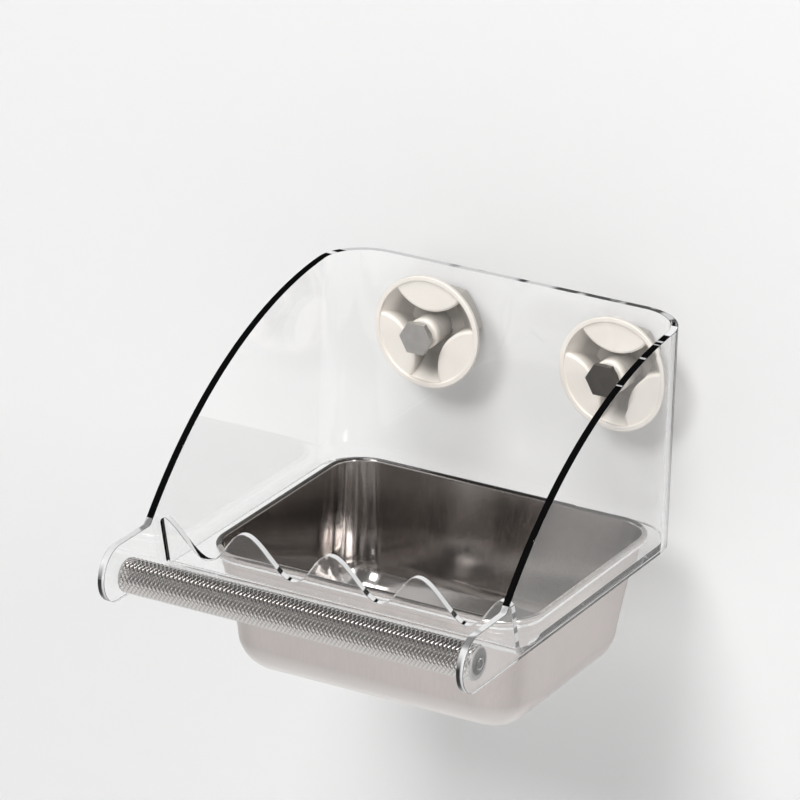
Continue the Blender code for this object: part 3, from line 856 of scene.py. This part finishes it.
def end_finish(colours, radius):
    """Dull sawn steel, with painted shade making its middle dark, stippled in its upper half."""
    finish = Finish("perch_end_painted_shade")
    _, y, z = finish.axes()
    y, z = y - PERCH_AXIS[0], z - PERCH_AXIS[1]
    marks = finish.noise(1.0, 2.0, finish.stretched((1.0, 2600.0, 700.0), (0.6, 0.0, 0.0)))
    up = z - 0.12 * radius
    # Painted shade: a dark middle, with a paler stipple in its upper half.
    middle = finish.between((y * y + up * up) ** 0.5, radius * 0.8, radius * 0.7)
    stipple = finish.between(z, -0.15 * radius, 0.5 * radius)
    for slant in (y + z, y - z):
        stipple = stipple * finish.between((slant * 900.0).fraction(), 0.35, 0.6)
    dark = finish.blend(stipple, tinted(colours.knurl, 0.02), tinted(colours.knurl, 0.6))
    steel = finish.shader(
        Base_Color=finish.blend(middle, tinted(colours.knurl, 0.5), dark),
        Specular_IOR_Level=0.1,
        Roughness=finish.spread(marks, 0.35, 0.5),
        Normal=finish.bump(marks, 0.12, 0.0001),
    )
    return finish.output(steel)


def cream_finish(name, colours, front=0.0, deep=1.0, shade_of=None):
    """Moulded plastic with a fine spark texture and slight flow marks, with painted shade making it greyer
    from front to deep.
    """
    finish = Finish(name)
    flow = finish.noise(60.0, 3.0, distortion=0.6)
    spark = finish.noise(2600.0)
    base = finish.mottled(flow, colours.cream, 0.97, 1.03)
    # Painted shade: the base colour greys from front to deep when shade_of is given.
    if shade_of is not None:
        _, y, _ = finish.axes()
        base = finish.blend(finish.between(y, front, deep), base, shade_of)
    plastic = finish.shader(
        Base_Color=base,
        Roughness=finish.spread(spark * 0.5 + flow * 0.5, 0.34, 0.5),
        IOR=1.5,
        Normal=finish.bump(spark, 0.05, 0.00006),
    )
    return finish.output(plastic)


def soft_finish(colours):
    """Cloudy soft vinyl."""
    finish = Finish("soft_pad_finish")
    cloud = finish.noise(60.0, 3.0)
    vinyl = finish.shader(
        Base_Color=finish.mottled(cloud, colours.soft, 0.97, 1.02),
        Roughness=finish.spread(cloud, 0.22, 0.36),
        IOR=1.5,
        Transmission_Weight=0.12,
        Normal=finish.bump(cloud, 0.02, 0.0003),
    )
    return finish.output(finish.lets_lamps_through(vinyl, (0.6, 0.6, 0.6)))


def brass_finish(colours):
    """Turned brass with fine tool rings."""
    finish = Finish("brass_insert_finish")
    rings = finish.noise(1.0, 2.0, finish.stretched((20.0, 3200.0, 20.0)))
    metal = finish.shader(
        Base_Color=finish.mottled(rings, colours.brass, 0.85, 1.05),
        Metallic=1.0,
        Roughness=finish.spread(rings, 0.24, 0.4),
        Normal=finish.bump(rings, 0.15, 0.00008),
    )
    return finish.output(metal)


def nylon_finish(colours):
    """Clear washer, a little milky."""
    finish = Finish("clear_washer_finish")
    cloud = finish.noise(300.0)
    nylon = finish.shader(
        Base_Color=finish.mottled(cloud, colours.nylon, 0.96, 1.03),
        Roughness=finish.spread(cloud, 0.12, 0.24),
        IOR=1.52,
        Transmission_Weight=0.85,
    )
    return finish.output(finish.lets_lamps_through(nylon, (0.8, 0.8, 0.8)))


def bolt_finish(name, bolt):
    """Satin steel with a fine facing grain."""
    finish = Finish(name)
    grain = finish.noise(1.0, 3.0, finish.stretched((260.0, 260.0, 3600.0), (0.0, 0.5, 0.0)))
    cloud = finish.noise(220.0, 3.0)
    metal = finish.shader(
        Base_Color=finish.mottled(cloud, bolt, 0.92, 1.08),
        Metallic=1.0,
        Roughness=finish.spread(grain * 0.6 + cloud * 0.4, 0.34, 0.5),
        Normal=finish.bump(grain, 0.05, 0.00005),
    )
    return finish.output(metal)


# Pieces


class FEEDER_OT_body(bpy.types.Operator):
    """Bent clear body: back, two bends and two swept sides with ears"""

    bl_idname = "feeder.body"
    bl_label = "Clear body"

    def execute(self, context):
        sizes, colours = context.scene.feeder_sheet, context.scene.feeder_colours
        half, top, bottom = BODY_HIGH.x, BODY_HIGH.z, BODY_LOW.z
        back, front = BODY_HIGH.y, BODY_LOW.y - SPARE
        bend_x, bend_y = half - sizes.bend_radius, back - sizes.bend_radius
        plane = bpy.ops.mesh.primitive_plane_add
        body = begin("bent_body", plane, size=1.0, rotation=(0.0, QUARTER, 0.0))
        body.scale = (top - bottom + 2 * SPARE, bend_y - front, 1.0)
        body.location = (sizes.sheet / 2 - half, (bend_y + front) / 2, (top + bottom) / 2)
        settle()
        edit()
        pick("EDGE", lambda edge: all(vert.co.y > bend_y - WELD for vert in edge.verts))
        for x, run in ((-bend_x, (2 * bend_x, 0.0, 0.0)), (bend_x, (0.0, front - bend_y, 0.0))):
            bpy.ops.mesh.spin(steps=BEND_STEPS, angle=QUARTER, center=(x, bend_y, 0.0), axis=(0.0, 0.0, 1.0))
            bpy.ops.mesh.extrude_edges_move(TRANSFORM_OT_translate={"value": run})
        leave()
        close_up(body)
        apply_modifier(body, "SOLIDIFY", thickness=sizes.sheet, offset=0.0, use_even_offset=True)
        close_up(body)
        reach = half + SPARE
        cut(body, "side_shape", upright(side_outline(sizes), -reach), (2 * reach, 0.0, 0.0), "INTERSECT")
        ring = circle(PERCH_AXIS, context.scene.feeder_perch.pin + sizes.hole_gap)
        start = half - sizes.sheet - SPARE
        deep = PERCH_HIGH.x + sizes.hole_gap - start
        for side in (-1, 1):
            cut(body, "ear_hole", upright(ring, side * start), (side * deep, 0.0, 0.0))
            hole = [(x, back + SPARE, z) for x, z in circle((side * MOUNT_X, 0.0), BOLT_HOLE)]
            cut(body, "bolt_hole", hole, (0.0, -2 * SPARE - sizes.sheet, 0.0))
        soften(body, sizes.edge_round)
        side_face = half - sizes.sheet - WELD
        ear_top = bottom + 2 * sizes.ear_radius + sizes.notch_radius

        def choose(centre, normal):
            if normal.z > 0.8 and abs(centre.x) < bend_x:
                return "top"
            if normal.z < -0.9:
                return "bottom" if centre.x > bend_x else "clear"
            if abs(centre.x) < side_face or abs(normal.x) > 0.1:
                return "clear"
            return "sweep" if centre.z > ear_top else "ear"

        # Painted light on the cut edges: pale faces, with grey and dark runs of painted reflection.
        grey, dark = colours.painted_grey_edge, colours.painted_dark_edge
        finishes = {
            "clear": acrylic_finish(colours),
            "top": painted_edge_finish("top_edge_painted_light", colours, grey, along_the_top, 0.85),
            "sweep": painted_edge_finish("dark_edge_painted_reflection", colours, dark, broken_near_the_back, within=1.0),
            "ear": painted_edge_finish("ear_edge_painted_light", colours, dark, round_the_front, 0.8),
            "bottom": painted_edge_finish("bottom_edge_painted_light", colours, dark, scattered, 0.5, 0.5),
        }
        sort_faces(body, finishes, choose)
        dress(body, "feeder", "acrylic_body")
        return {"FINISHED"}


class FEEDER_OT_shelf(bpy.types.Operator):
    """Clear shelf with the pan's opening and a scalloped guard along its front"""

    bl_idname = "feeder.shelf"
    bl_label = "Shelf and guard"

    def execute(self, context):
        scene = context.scene
        sizes, pan, colours = scene.feeder_sheet, scene.feeder_pan, scene.feeder_colours
        half, back, front = SHELF_HIGH.x, SHELF_HIGH.y, BODY_LOW.y
        shelf = plate("scalloped_shelf", upright(shelf_section(sizes), -half), (2 * half, 0.0, 0.0))
        corner = sizes.bend_radius - sizes.sheet - (BODY_HIGH.x - sizes.sheet - half)
        plan = [(half, front)]
        plan += arc((half - corner, back - corner), corner, 0.0, QUARTER, BEND_STEPS)
        plan += arc((corner - half, back - corner), corner, QUARTER, pi, BEND_STEPS)
        plan.append((-half, front))
        low, tall = SHELF_LOW.z - SPARE, 0.1
        cut(shelf, "shelf_plan", level(plan, low), (0.0, 0.0, tall), "INTERSECT")
        inset = pan.bead - pan.wall - sizes.cutout_play
        hole = rounded_rectangle(
            PAN_HIGH.x - inset, (PAN_HIGH.y - PAN_LOW.y) / 2 - inset, pan.rim_corner - inset, 18
        )
        hole = [(x, y + PAN_MIDDLE, low) for x, y in hole]
        cut(shelf, "pan_hole", hole, (0.0, 0.0, 2 * SPARE + sizes.sheet))
        wave = [(x, PAN_MIDDLE, z) for x, z in scallops(sizes)]
        cut(shelf, "scallops", wave, (0.0, front - PAN_MIDDLE, 0.0))
        guard_back = front + sizes.ear_radius + sizes.guard_foot + 2 * sizes.guard_bend
        guard_low = SHELF_LOW.z + sizes.sheet + sizes.guard_bend / 2
        band = GUARD_BAND - half
        hold(shelf)
        edit()
        for axis, place in ((1, guard_back), (2, guard_low), (0, band)):
            normal = Vector.Fill(3)
            normal[axis] = 1.0
            take_all()
            bpy.ops.mesh.bisect(plane_co=normal * place, plane_no=normal)
        leave()
        soften(shelf, sizes.edge_round)

        def choose(centre, normal):
            on_guard = centre.y < guard_back and centre.z > guard_low
            if on_guard and centre.x < band:
                return "dark"
            if abs(normal.x) > 0.2 and abs(centre.x) > half - 2 * sizes.edge_round:
                if on_guard and abs(normal.x) > 0.95:
                    return "dark" if normal.x < 0 else "end"
                return "clear" if on_guard else "weld"
            if centre.y < guard_back and normal.y < -0.45 and normal.z < -0.45:
                return "bend"
            return "scallop" if on_guard and abs(normal.y) < 0.2 else "clear"

        # Painted light on the cut edges: pale faces with dark runs of painted reflection, and a pale painted
        # highlight along the bend.
        dark = colours.painted_dark_edge
        finishes = {
            "clear": bpy.data.materials["clear_acrylic_finish"],
            "dark": bpy.data.materials["dark_edge_painted_reflection"],
            "weld": welded_finish(colours),
            "scallop": painted_edge_finish("scallop_edge_painted_light", colours, dark, below_crests),
            "end": painted_edge_finish("guard_end_painted_light", colours, dark, close_set),
            "bend": painted_edge_finish("bend_painted_highlight", colours, colours.edge, scattered, within=1.0),
        }
        sort_faces(shelf, finishes, choose)
        dress(shelf, "feeder", "shelf")
        return {"FINISHED"}


class FEEDER_OT_pan(bpy.types.Operator):
    """Drawn steel pan with a rolled rim"""

    bl_idname = "feeder.pan"
    bl_label = "Seed pan"

    def execute(self, context):
        sizes, colours = context.scene.feeder_pan, context.scene.feeder_colours
        rim_x, rim_y = PAN_HIGH.x, (PAN_HIGH.y - PAN_LOW.y) / 2
        under, rim = PAN_LOW.z, PAN_HIGH.z - sizes.bead
        wall_inset = sizes.bead - sizes.wall

        def loop(inset, taper, radius, z):
            half_x = rim_x - inset - taper * sizes.side_taper
            half_y = rim_y - inset - taper * sizes.end_taper
            shape = rounded_rectangle(half_x, half_y, max(radius, sizes.least_corner), 14)
            return [(x, y + PAN_MIDDLE, z) for x, y in shape]

        def fillet(inset, radius, floor):
            loops = []
            for offset, z in arc((radius, floor + radius), radius, pi, 3 * QUARTER, 16):
                corner = sizes.low_corner - inset + wall_inset - offset
                loops.append(loop(inset + offset, 1.0, corner, z))
            return loops

        loops = fillet(sizes.bead, sizes.floor_fillet - sizes.wall, under + sizes.wall)[::-1]
        bead = sizes.bead / 2
        for inset, z in arc((bead, rim + bead), bead, 0.0, 3 * QUARTER, 18):
            loops.append(loop(inset, 0.0, sizes.rim_corner - inset, z))
        loops.append(loop(wall_inset, 0.0, sizes.rim_corner - wall_inset, rim))
        loops += fillet(wall_inset, sizes.floor_fillet, under)
        pan = shade(lofted("drawn_pan", loops), 40.0)

        def choose(place, normal):
            x, y = place.x, place.y - PAN_MIDDLE
            outward = x * normal.x + y * normal.y
            away = copysign(normal.xy.length, outward)
            behind = y / rim_y > x / rim_x
            # Painted reflection: the rim's top at the back and left gets a dark finish.
            if behind and place.z > rim and normal.z > 0.2 and away > -0.85:
                return "rim"
            return "inside" if normal.z > 0.2 or outward < 0.0 else "outside"

        steel, polished = colours.steel, colours.polished
        below = (under + sizes.floor_fillet * 0.8, under + sizes.floor_fillet * 0.3)
        finishes = {
            "inside": steel_finish("pan_inside_finish", polished, 0.13, 900.0),
            # Brushed steel, with a painted reflection brightening it round the floor fillet.
            "outside": steel_finish("pan_outside_with_painted_reflection", steel, 0.34, 1400.0, colours.fillet, below),
            # Painted reflection: a dark copy of the polished steel along the rim's top at the back and left.
            "rim": steel_finish("pan_rim_painted_reflection", tinted(polished, 0.2), 0.1, 900.0),
        }
        sort_faces(pan, finishes, choose)
        dress(pan, "pan", "seed_pan")
        return {"FINISHED"}


class FEEDER_OT_perch(bpy.types.Operator):
    """Steel perch with a cut diamond knurl and a plain pin at each end"""

    bl_idname = "feeder.perch"
    bl_label = "Knurled perch"

    def execute(self, context):
        sizes, colours = context.scene.feeder_perch, context.scene.feeder_colours
        radius = (PERCH_HIGH.z - PERCH_LOW.z) / 2
        reach = PERCH_HIGH.x - sizes.shoulder - sizes.chamfer
        groove = radius - sizes.groove
        cylinder = bpy.ops.mesh.primitive_cylinder_add
        perch = begin("knurled_perch", cylinder, vertices=sizes.around, radius=groove, depth=2 * reach)
        edit()
        pick("EDGE", lambda edge: abs(edge.verts[0].co.z - edge.verts[1].co.z) > reach)
        bpy.ops.mesh.subdivide(number_cuts=sizes.along - 1)
        pick("FACE", lambda face: abs(face.normal.z) < 0.5)
        bpy.ops.mesh.poke()

        def is_grid(edge):
            first, second = (vert.co for vert in edge.verts)
            same_ring = abs(first.z - second.z) < WELD
            same_line = abs(first.x - second.x) + abs(first.y - second.y) < WELD
            at_end = abs(first.z) > reach - WELD and same_ring
            return (same_ring or same_line) and not at_end

        pick("VERT", lambda vert: abs(vert.co.z) < reach - WELD)
        self.round_off(groove)
        pick("EDGE", is_grid)
        bpy.ops.mesh.dissolve_edges(use_verts=False)
        pick("FACE", lambda face: len(face.verts) == 4 and abs(face.normal.z) < 0.5)
        bpy.ops.mesh.inset(
            thickness=sizes.land, depth=sizes.groove, use_individual=True, use_even_offset=False
        )
        for side in (-1, 1):
            pick("FACE", lambda face: face.normal.z * side > 0.9 and len(face.verts) > 4)
            extrude((0.0, 0.0, side * sizes.chamfer))
            self.narrow(groove - sizes.chamfer, groove)
            bpy.ops.mesh.inset(thickness=groove - sizes.chamfer - sizes.pin, use_even_offset=True)
            for run in (sizes.shoulder - sizes.pin_chamfer, sizes.pin_chamfer):
                extrude((0.0, 0.0, side * run))
            self.narrow(sizes.pin - sizes.pin_chamfer, sizes.pin)
        leave()
        put_in_place(perch, Matrix.Translation((0.0, *PERCH_AXIS)) @ Matrix.Rotation(QUARTER, 4, "Y"))
        shade(close_up(perch), 20.0)
        finishes = {
            "knurl": knurl_finish(colours, radius, sizes.groove),
            "end": end_finish(colours, radius),
        }
        sort_faces(perch, finishes, lambda centre, _: "end" if abs(centre.x) > reach + WELD else "knurl")
        dress(perch, "perch", "perch_rod")
        return {"FINISHED"}

    @staticmethod
    def round_off(radius):
        """Put the selected verts on a circle about the rod's axis."""
        mesh = bpy.context.edit_object.data
        for vert in bmesh.from_edit_mesh(mesh).verts:
            if vert.select:
                vert.co.xy = vert.co.xy.normalized() * radius
        bmesh.update_edit_mesh(mesh)

    @staticmethod
    def narrow(after, before):
        """Scale the selected end about the rod's axis."""
        factor = after / before
        bpy.ops.transform.resize(value=(factor, factor, 1.0), center_override=(0.0, 0.0, 0.0))


class FEEDER_OT_mounts(bpy.types.Operator):
    """Two cream mouldings: ring, three grip pads, star pocket, hub and hexagonal base"""

    bl_idname = "feeder.mounts"
    bl_label = "Mount mouldings"

    def execute(self, context):
        sizes, colours = context.scene.feeder_mount, context.scene.feeder_colours
        ring = (MOUNT_HIGH.x - MOUNT_LOW.x) / 2
        hub_face, rear = -MOUNT_LOW.y, -MOUNT_HIGH.y
        front = hub_face - sizes.hub_proud
        inside = ring - sizes.ring_lip
        shoulder = front - sizes.ring_edge
        floor = front - sizes.pocket_depth
        pad_top = front - sizes.pad_drop
        base_flat = sizes.base_radius * cos(TURN / 12)
        steps = 120
        outside = [
            (0.0, pad_top),
            (inside, pad_top),
            (inside, front),
            (ring, front),
            (ring, shoulder),
            (base_flat, floor - sizes.wall),
            (0.0, floor - sizes.wall),
        ]
        mount = turned("right_moulding", eased(outside, dict.fromkeys((2, 3, 4), sizes.edge_round)), steps)
        base = level(hexagon(sizes.base_radius, sizes.base_bulge, 10), rear)
        cut(mount, "hex_base", base, (0.0, 0.0, floor - rear), "UNION")
        least = sizes.pad_radius - sizes.pad_round
        stars = [level(star(sizes, inside, least), front + SPARE)]
        for grow, drop in arc((0, 0), sizes.pad_round, 0.0, QUARTER, 8):
            stars.append(level(star(sizes, inside, least + drop), pad_top - sizes.pad_round + grow))
        widest = star(sizes, inside, sizes.pad_radius + sizes.pad_draft)
        stars += [level(widest, floor), level(widest, floor - SPARE)]
        pocket = lofted("pocket", stars)
        bowl = [
            (0.0, front + 2 * SPARE),
            (inside + SPARE, front + 2 * SPARE),
            (inside + SPARE, shoulder + sizes.wall),
            (inside, shoulder),
            (base_flat - sizes.wall, floor),
            (0.0, floor),
        ]
        join_by(pocket, turned("bowl", bowl, steps), "INTERSECT")
        join_by(mount, pocket, "DIFFERENCE")
        root = floor - sizes.wall / 2
        hub = [(0.0, hub_face), (sizes.hub_radius, hub_face), (sizes.hub_radius, root), (0.0, root)]
        join_by(mount, turned("hub", eased(hub, {1: sizes.hub_round}), HUB_STEPS), "UNION")
        post, post_top = 0.0073, 0.0082
        bell, bell_top, bell_rim = 0.0125, 0.0042, 0.0016
        seat = [
            (0.0, hub_face + SPARE),
            (BOLT_HOLE, hub_face + SPARE),
            (BOLT_HOLE, post_top),
            (post, post_top),
            (post, bell_top),
            (bell, bell_rim),
            (bell, 0.0),
            (0.0, 0.0),
        ]
        join_by(mount, turned("pad_seat", seat, HUB_STEPS), "DIFFERENCE")
        shade(mount, 34.0)
        apply_modifier(mount, "WEIGHTED_NORMAL", keep_sharp=True)

        def choose(place, normal):
            part = min(1.0, (place.z - floor + sizes.wall) / (shoulder - floor + sizes.wall))
            outer = base_flat + (ring - base_flat) * part
            away = place.xy.length
            if place.z < floor - WELD or away > outer - sizes.wall / 2:
                return "back" if place.z < shoulder else "front"
            if away < sizes.hub_radius + WELD:
                return "hub"
            return "pocket" if place.z < pad_top - WELD else "front"

        # Painted shade: the pocket, the hub and the back of the base darken with depth, where shade falls.
        pocket_shade = (sizes.pad_round / 2 - pad_top, sizes.pocket_depth * 0.6 - front, colours.cream_painted_shade)
        hub_shade = (sizes.hub_round - hub_face, 0.004 - hub_face, tinted(colours.cream, 0.5))
        back_shade = (-shoulder, -floor, tinted(colours.cream, 0.58))
        finishes = {
            "front": cream_finish("cream_plastic_finish", colours),
            "pocket": cream_finish("cream_pocket_painted_shade", colours, *pocket_shade),
            "hub": cream_finish("cream_hub_painted_shade", colours, *hub_shade),
            "back": cream_finish("cream_back_painted_shade", colours, *back_shade),
        }
        sort_faces(mount, finishes, choose)
        make_pair(mount, "left_moulding", "mount")
        return {"FINISHED"}


class FEEDER_OT_pads(bpy.types.Operator):
    """Two soft suction pads with a threaded insert in each"""

    bl_idname = "feeder.pads"
    bl_label = "Suction pads and inserts"

    def execute(self, context):
        colours = context.scene.feeder_colours
        lip, lip_height = (PAD_HIGH.x - PAD_LOW.x) / 2, 0.0010
        socket, socket_floor = 0.0058, 0.0024
        post, post_top, post_foot = 0.0070, -PAD_LOW.y, 0.0039
        bell, bell_rim = 0.0122, 0.0013
        hollow, hollow_height = 0.010, 0.0012
        profile = [(0.0, socket_floor), (socket, socket_floor), (socket, post_top), (post, post_top)]
        profile += [(post, post_foot), (bell, bell_rim), (bell, lip_height), (lip, lip_height), (lip, 0.0)]
        dome = arc((0, 0), 1.0, 0.0, QUARTER, 10)[:-1] + [(0.0, 1.0)]
        profile += [(hollow * x, hollow_height * z) for x, z in dome]
        pad_round, insert_round = 0.0001, 0.0003
        pad = soften(turned("right_soft_pad", profile, RING_STEPS), pad_round)
        ring = ring_section(BOLT_HOLE, INSERT_LOW, INSERT_HIGH)
        insert = soften(turned("right_brass_insert", ring, RING_STEPS), insert_round)
        soft, brass = soft_finish(colours), brass_finish(colours)
        make_pair(pad, "left_soft_pad", "suction_pad", finish=soft)
        make_pair(insert, "left_brass_insert", "threaded_insert", finish=brass)
        return {"FINISHED"}


class FEEDER_OT_bolts(bpy.types.Operator):
    """Two hexagon bolts with cut threads, each with a clear washer"""

    bl_idname = "feeder.bolts"
    bl_label = "Bolts and washers"

    def execute(self, context):
        colours = context.scene.feeder_colours
        corner = (BOLT_HIGH.x - BOLT_LOW.x) / 2
        tip, seat = -BOLT_HIGH.y, -BOLT_LOW.y - BOLT_HEAD
        bolt = plate("right_bolt_piece", level(hexagon(corner, 0.0, 1), seat), (0.0, 0.0, BOLT_HEAD))
        head_round, washer_round, sunk = 0.00025, 0.0001, 0.0005
        soften(bolt, head_round)
        shade(join_by(bolt, lofted("shank", thread(tip, seat + sunk)), "UNION"), 30.0)
        ring = ring_section(BOLT_HOLE, WASHER_LOW, WASHER_HIGH)
        washer = soften(turned("right_clear_washer", ring, RING_STEPS), washer_round)
        steel = bolt_finish("bolt_steel_finish", colours.bolt)
        # Painted reflection: the right bolt gets a darker copy of the same steel.
        painted_dark_copy = bolt_finish("right_bolt_painted_reflection", colours.painted_dark_bolt)
        nylon = nylon_finish(colours)
        make_pair(bolt, "left_bolt_piece", "hex_bolt", "bolt", painted_dark_copy, steel)
        make_pair(washer, "left_clear_washer", "bolt_washer", "washer", nylon)
        return {"FINISHED"}


class FEEDER_OT_stage(bpy.types.Operator):
    """Pale wall and floor, soft lamps and the camera"""

    bl_idname = "feeder.stage"
    bl_label = "Stage, lamps and camera"

    def execute(self, context):
        for name, place, turn, size in (
            ("wall_backdrop", (0.0, 0.0006, 0.0), QUARTER, 6.0),
            ("pale_floor", (0.0, 0.0, -0.62), 0.0, 16.0),
        ):
            plane = bpy.ops.mesh.primitive_plane_add
            piece = begin(name, plane, size=size, location=place, rotation=(turn, 0.0, 0.0))
            settle()
            piece.data.materials.append(self.backdrop(name, context.scene.feeder_colours.wall, turn > 0.0))
        for name, place, size, watts in (
            ("key", (-0.25, -2.5, 1.9), (0.9, 0.9), 37.0),
            ("low", (0.3, -2.4, 0.1), (1.0, 0.3), 3.0),
            ("top", (0.0, -1.1, 2.8), (1.3, 0.8), 43.0),
            ("right_strip", (1.5, -0.85, 0.62), (0.16, 0.9), 4.0),
        ):
            lamp = begin(name + "_softbox", bpy.ops.object.light_add, type="AREA", location=place)
            lamp.data.shape = "RECTANGLE"
            lamp.data.size, lamp.data.size_y = size
            lamp.data.energy = watts
            aim = Vector((0.0, -0.08, -0.02)) - Vector(place)
            lamp.rotation_euler = aim.to_track_quat("-Z", "Y").to_euler()
        self.world(context)
        self.camera(context)
        return {"FINISHED"}

    @staticmethod
    def backdrop(name, base, upright_sheet):
        """Matt paint, clear from behind, so that the back and the underside of the feeder can be seen.

        The upright sheet is a little paler through clear sheet, darker in mirrors and clear to soft light.
        """
        finish = Finish(name + "_finish")
        rough = finish.spread(finish.noise(300.0), 0.8, 0.95)
        passing = finish.given("NewGeometry", "Backfacing")
        if not upright_sheet:
            paint = finish.shader(Base_Color=(*base, 1.0), Roughness=rough, Specular_IOR_Level=0.0)
            return finish.output(finish.mixed(passing, paint, finish.clear()))
        through = finish.given("LightPath", "Is Transmission Ray")
        paler = finish.blend(through, base, tinted(base, 1.07))
        paint = finish.shader(Base_Color=paler, Roughness=rough, Specular_IOR_Level=0.0)
        flag = finish.shader(Base_Color=(0.07, 0.07, 0.07, 1.0), Roughness=0.9, Specular_IOR_Level=0.0)
        mirrored = finish.between(finish.given("LightPath", "Glossy Depth"), 0.0, 1.0)
        _, _, z = finish.axes()
        flagged = mirrored * (1.0 - through * 0.8) * finish.between(z, -0.12, 0.02)
        paint = finish.mixed(flagged, paint, flag)
        passing = passing + finish.given("LightPath", "Is Diffuse Ray")
        return finish.output(finish.mixed(passing, paint, finish.clear()))

    @staticmethod
    def world(context):
        """Pale to the camera and through clear sheet, a dim studio in reflections."""
        world = context.scene.world = bpy.data.worlds.new("studio")
        world.use_nodes = True
        finish = Finish("studio", world.node_tree)
        _, _, rise = finish.axes(finish.node("TexCoord").outputs["Generated"])
        dim = finish.blend(finish.between(rise, 0.45, 0.9), (0.17, 0.168, 0.165), (0.24, 0.238, 0.235))
        room = finish.blend(finish.between(rise, -0.25, 0.0), (0.76, 0.75, 0.74), dim)
        mirrored = finish.between(finish.given("LightPath", "Glossy Depth"), 0.0, 1.0)
        room = finish.blend(mirrored, (0.28, 0.28, 0.28), room)
        through = finish.given("LightPath", "Is Transmission Ray") * (1.0 - mirrored * 0.2)
        seen = finish.given("LightPath", "Is Camera Ray") + through
        light = finish.blend(seen, room, (0.88, 0.88, 0.878))
        background = finish.node("Background", None, {"Color": light, "Strength": 1.0})
        finish.node("OutputWorld", None, {"Surface": background.outputs[0]})

    @staticmethod
    def camera(context):
        """The photograph's view: a long lens, above and to the right, rolled slightly."""
        azimuth, elevation, roll = (radians(degrees) for degrees in (28.32, 21.75, 1.77))
        target, distance = Vector((0.0, -0.1210, 0.0129)), 2.136
        right = Vector((cos(azimuth), sin(azimuth), 0.0))
        level_back = Vector((sin(azimuth), -cos(azimuth), 0.0))
        back = level_back * cos(elevation) + Vector((0.0, 0.0, sin(elevation)))
        up = back.cross(right)
        across = right * cos(roll) + up * sin(roll)
        above = up * cos(roll) - right * sin(roll)
        camera = begin("main_camera", bpy.ops.object.camera_add)
        camera.data.lens, camera.data.sensor_width = 247.5, 36.0
        camera.data.clip_start, camera.data.clip_end = 0.01, 20.0
        turn = Matrix((across, above, back)).transposed().to_4x4()
        camera.matrix_world = Matrix.Translation(target + back * distance) @ turn
        context.scene.camera = camera
        context.scene.view_settings.view_transform = "Standard"


GROUPS = (
    ("feeder_sheet", FeederSheetSizes),
    ("feeder_pan", FeederPanSizes),
    ("feeder_perch", FeederPerchSizes),
    ("feeder_mount", FeederMountSizes),
    ("feeder_colours", FeederColours),
)
STEPS = (
    FEEDER_OT_body,
    FEEDER_OT_shelf,
    FEEDER_OT_pan,
    FEEDER_OT_perch,
    FEEDER_OT_mounts,
    FEEDER_OT_pads,
    FEEDER_OT_bolts,
    FEEDER_OT_stage,
)


class VIEW3D_PT_feeder(bpy.types.Panel):
    """Lists the feeder's steps and sizes"""

    bl_label = "Window feeder"
    bl_idname = "VIEW3D_PT_feeder"
    bl_space_type = "VIEW_3D"
    bl_region_type = "UI"
    bl_category = "Feeder"

    def draw(self, context):
        for step in STEPS:
            self.layout.operator(step.bl_idname)
        for name, group in GROUPS:
            box = self.layout.box()
            for prop in group.__annotations__:
                box.prop(getattr(context.scene, name), prop)


def register():
    for name, group in GROUPS:
        bpy.utils.register_class(group)
        setattr(bpy.types.Scene, name, bpy.props.PointerProperty(type=group))
    for step in STEPS:
        bpy.utils.register_class(step)
    bpy.utils.register_class(VIEW3D_PT_feeder)


def unregister():
    bpy.utils.unregister_class(VIEW3D_PT_feeder)
    for step in reversed(STEPS):
        bpy.utils.unregister_class(step)
    for name, group in reversed(GROUPS):
        delattr(bpy.types.Scene, name)
        bpy.utils.unregister_class(group)


def main():
    register()
    bpy.ops.feeder.body()
    bpy.ops.feeder.shelf()
    bpy.ops.feeder.pan()
    bpy.ops.feeder.perch()
    bpy.ops.feeder.mounts()
    bpy.ops.feeder.pads()
    bpy.ops.feeder.bolts()
    bpy.ops.feeder.stage()


if __name__ == "__main__":
    main()
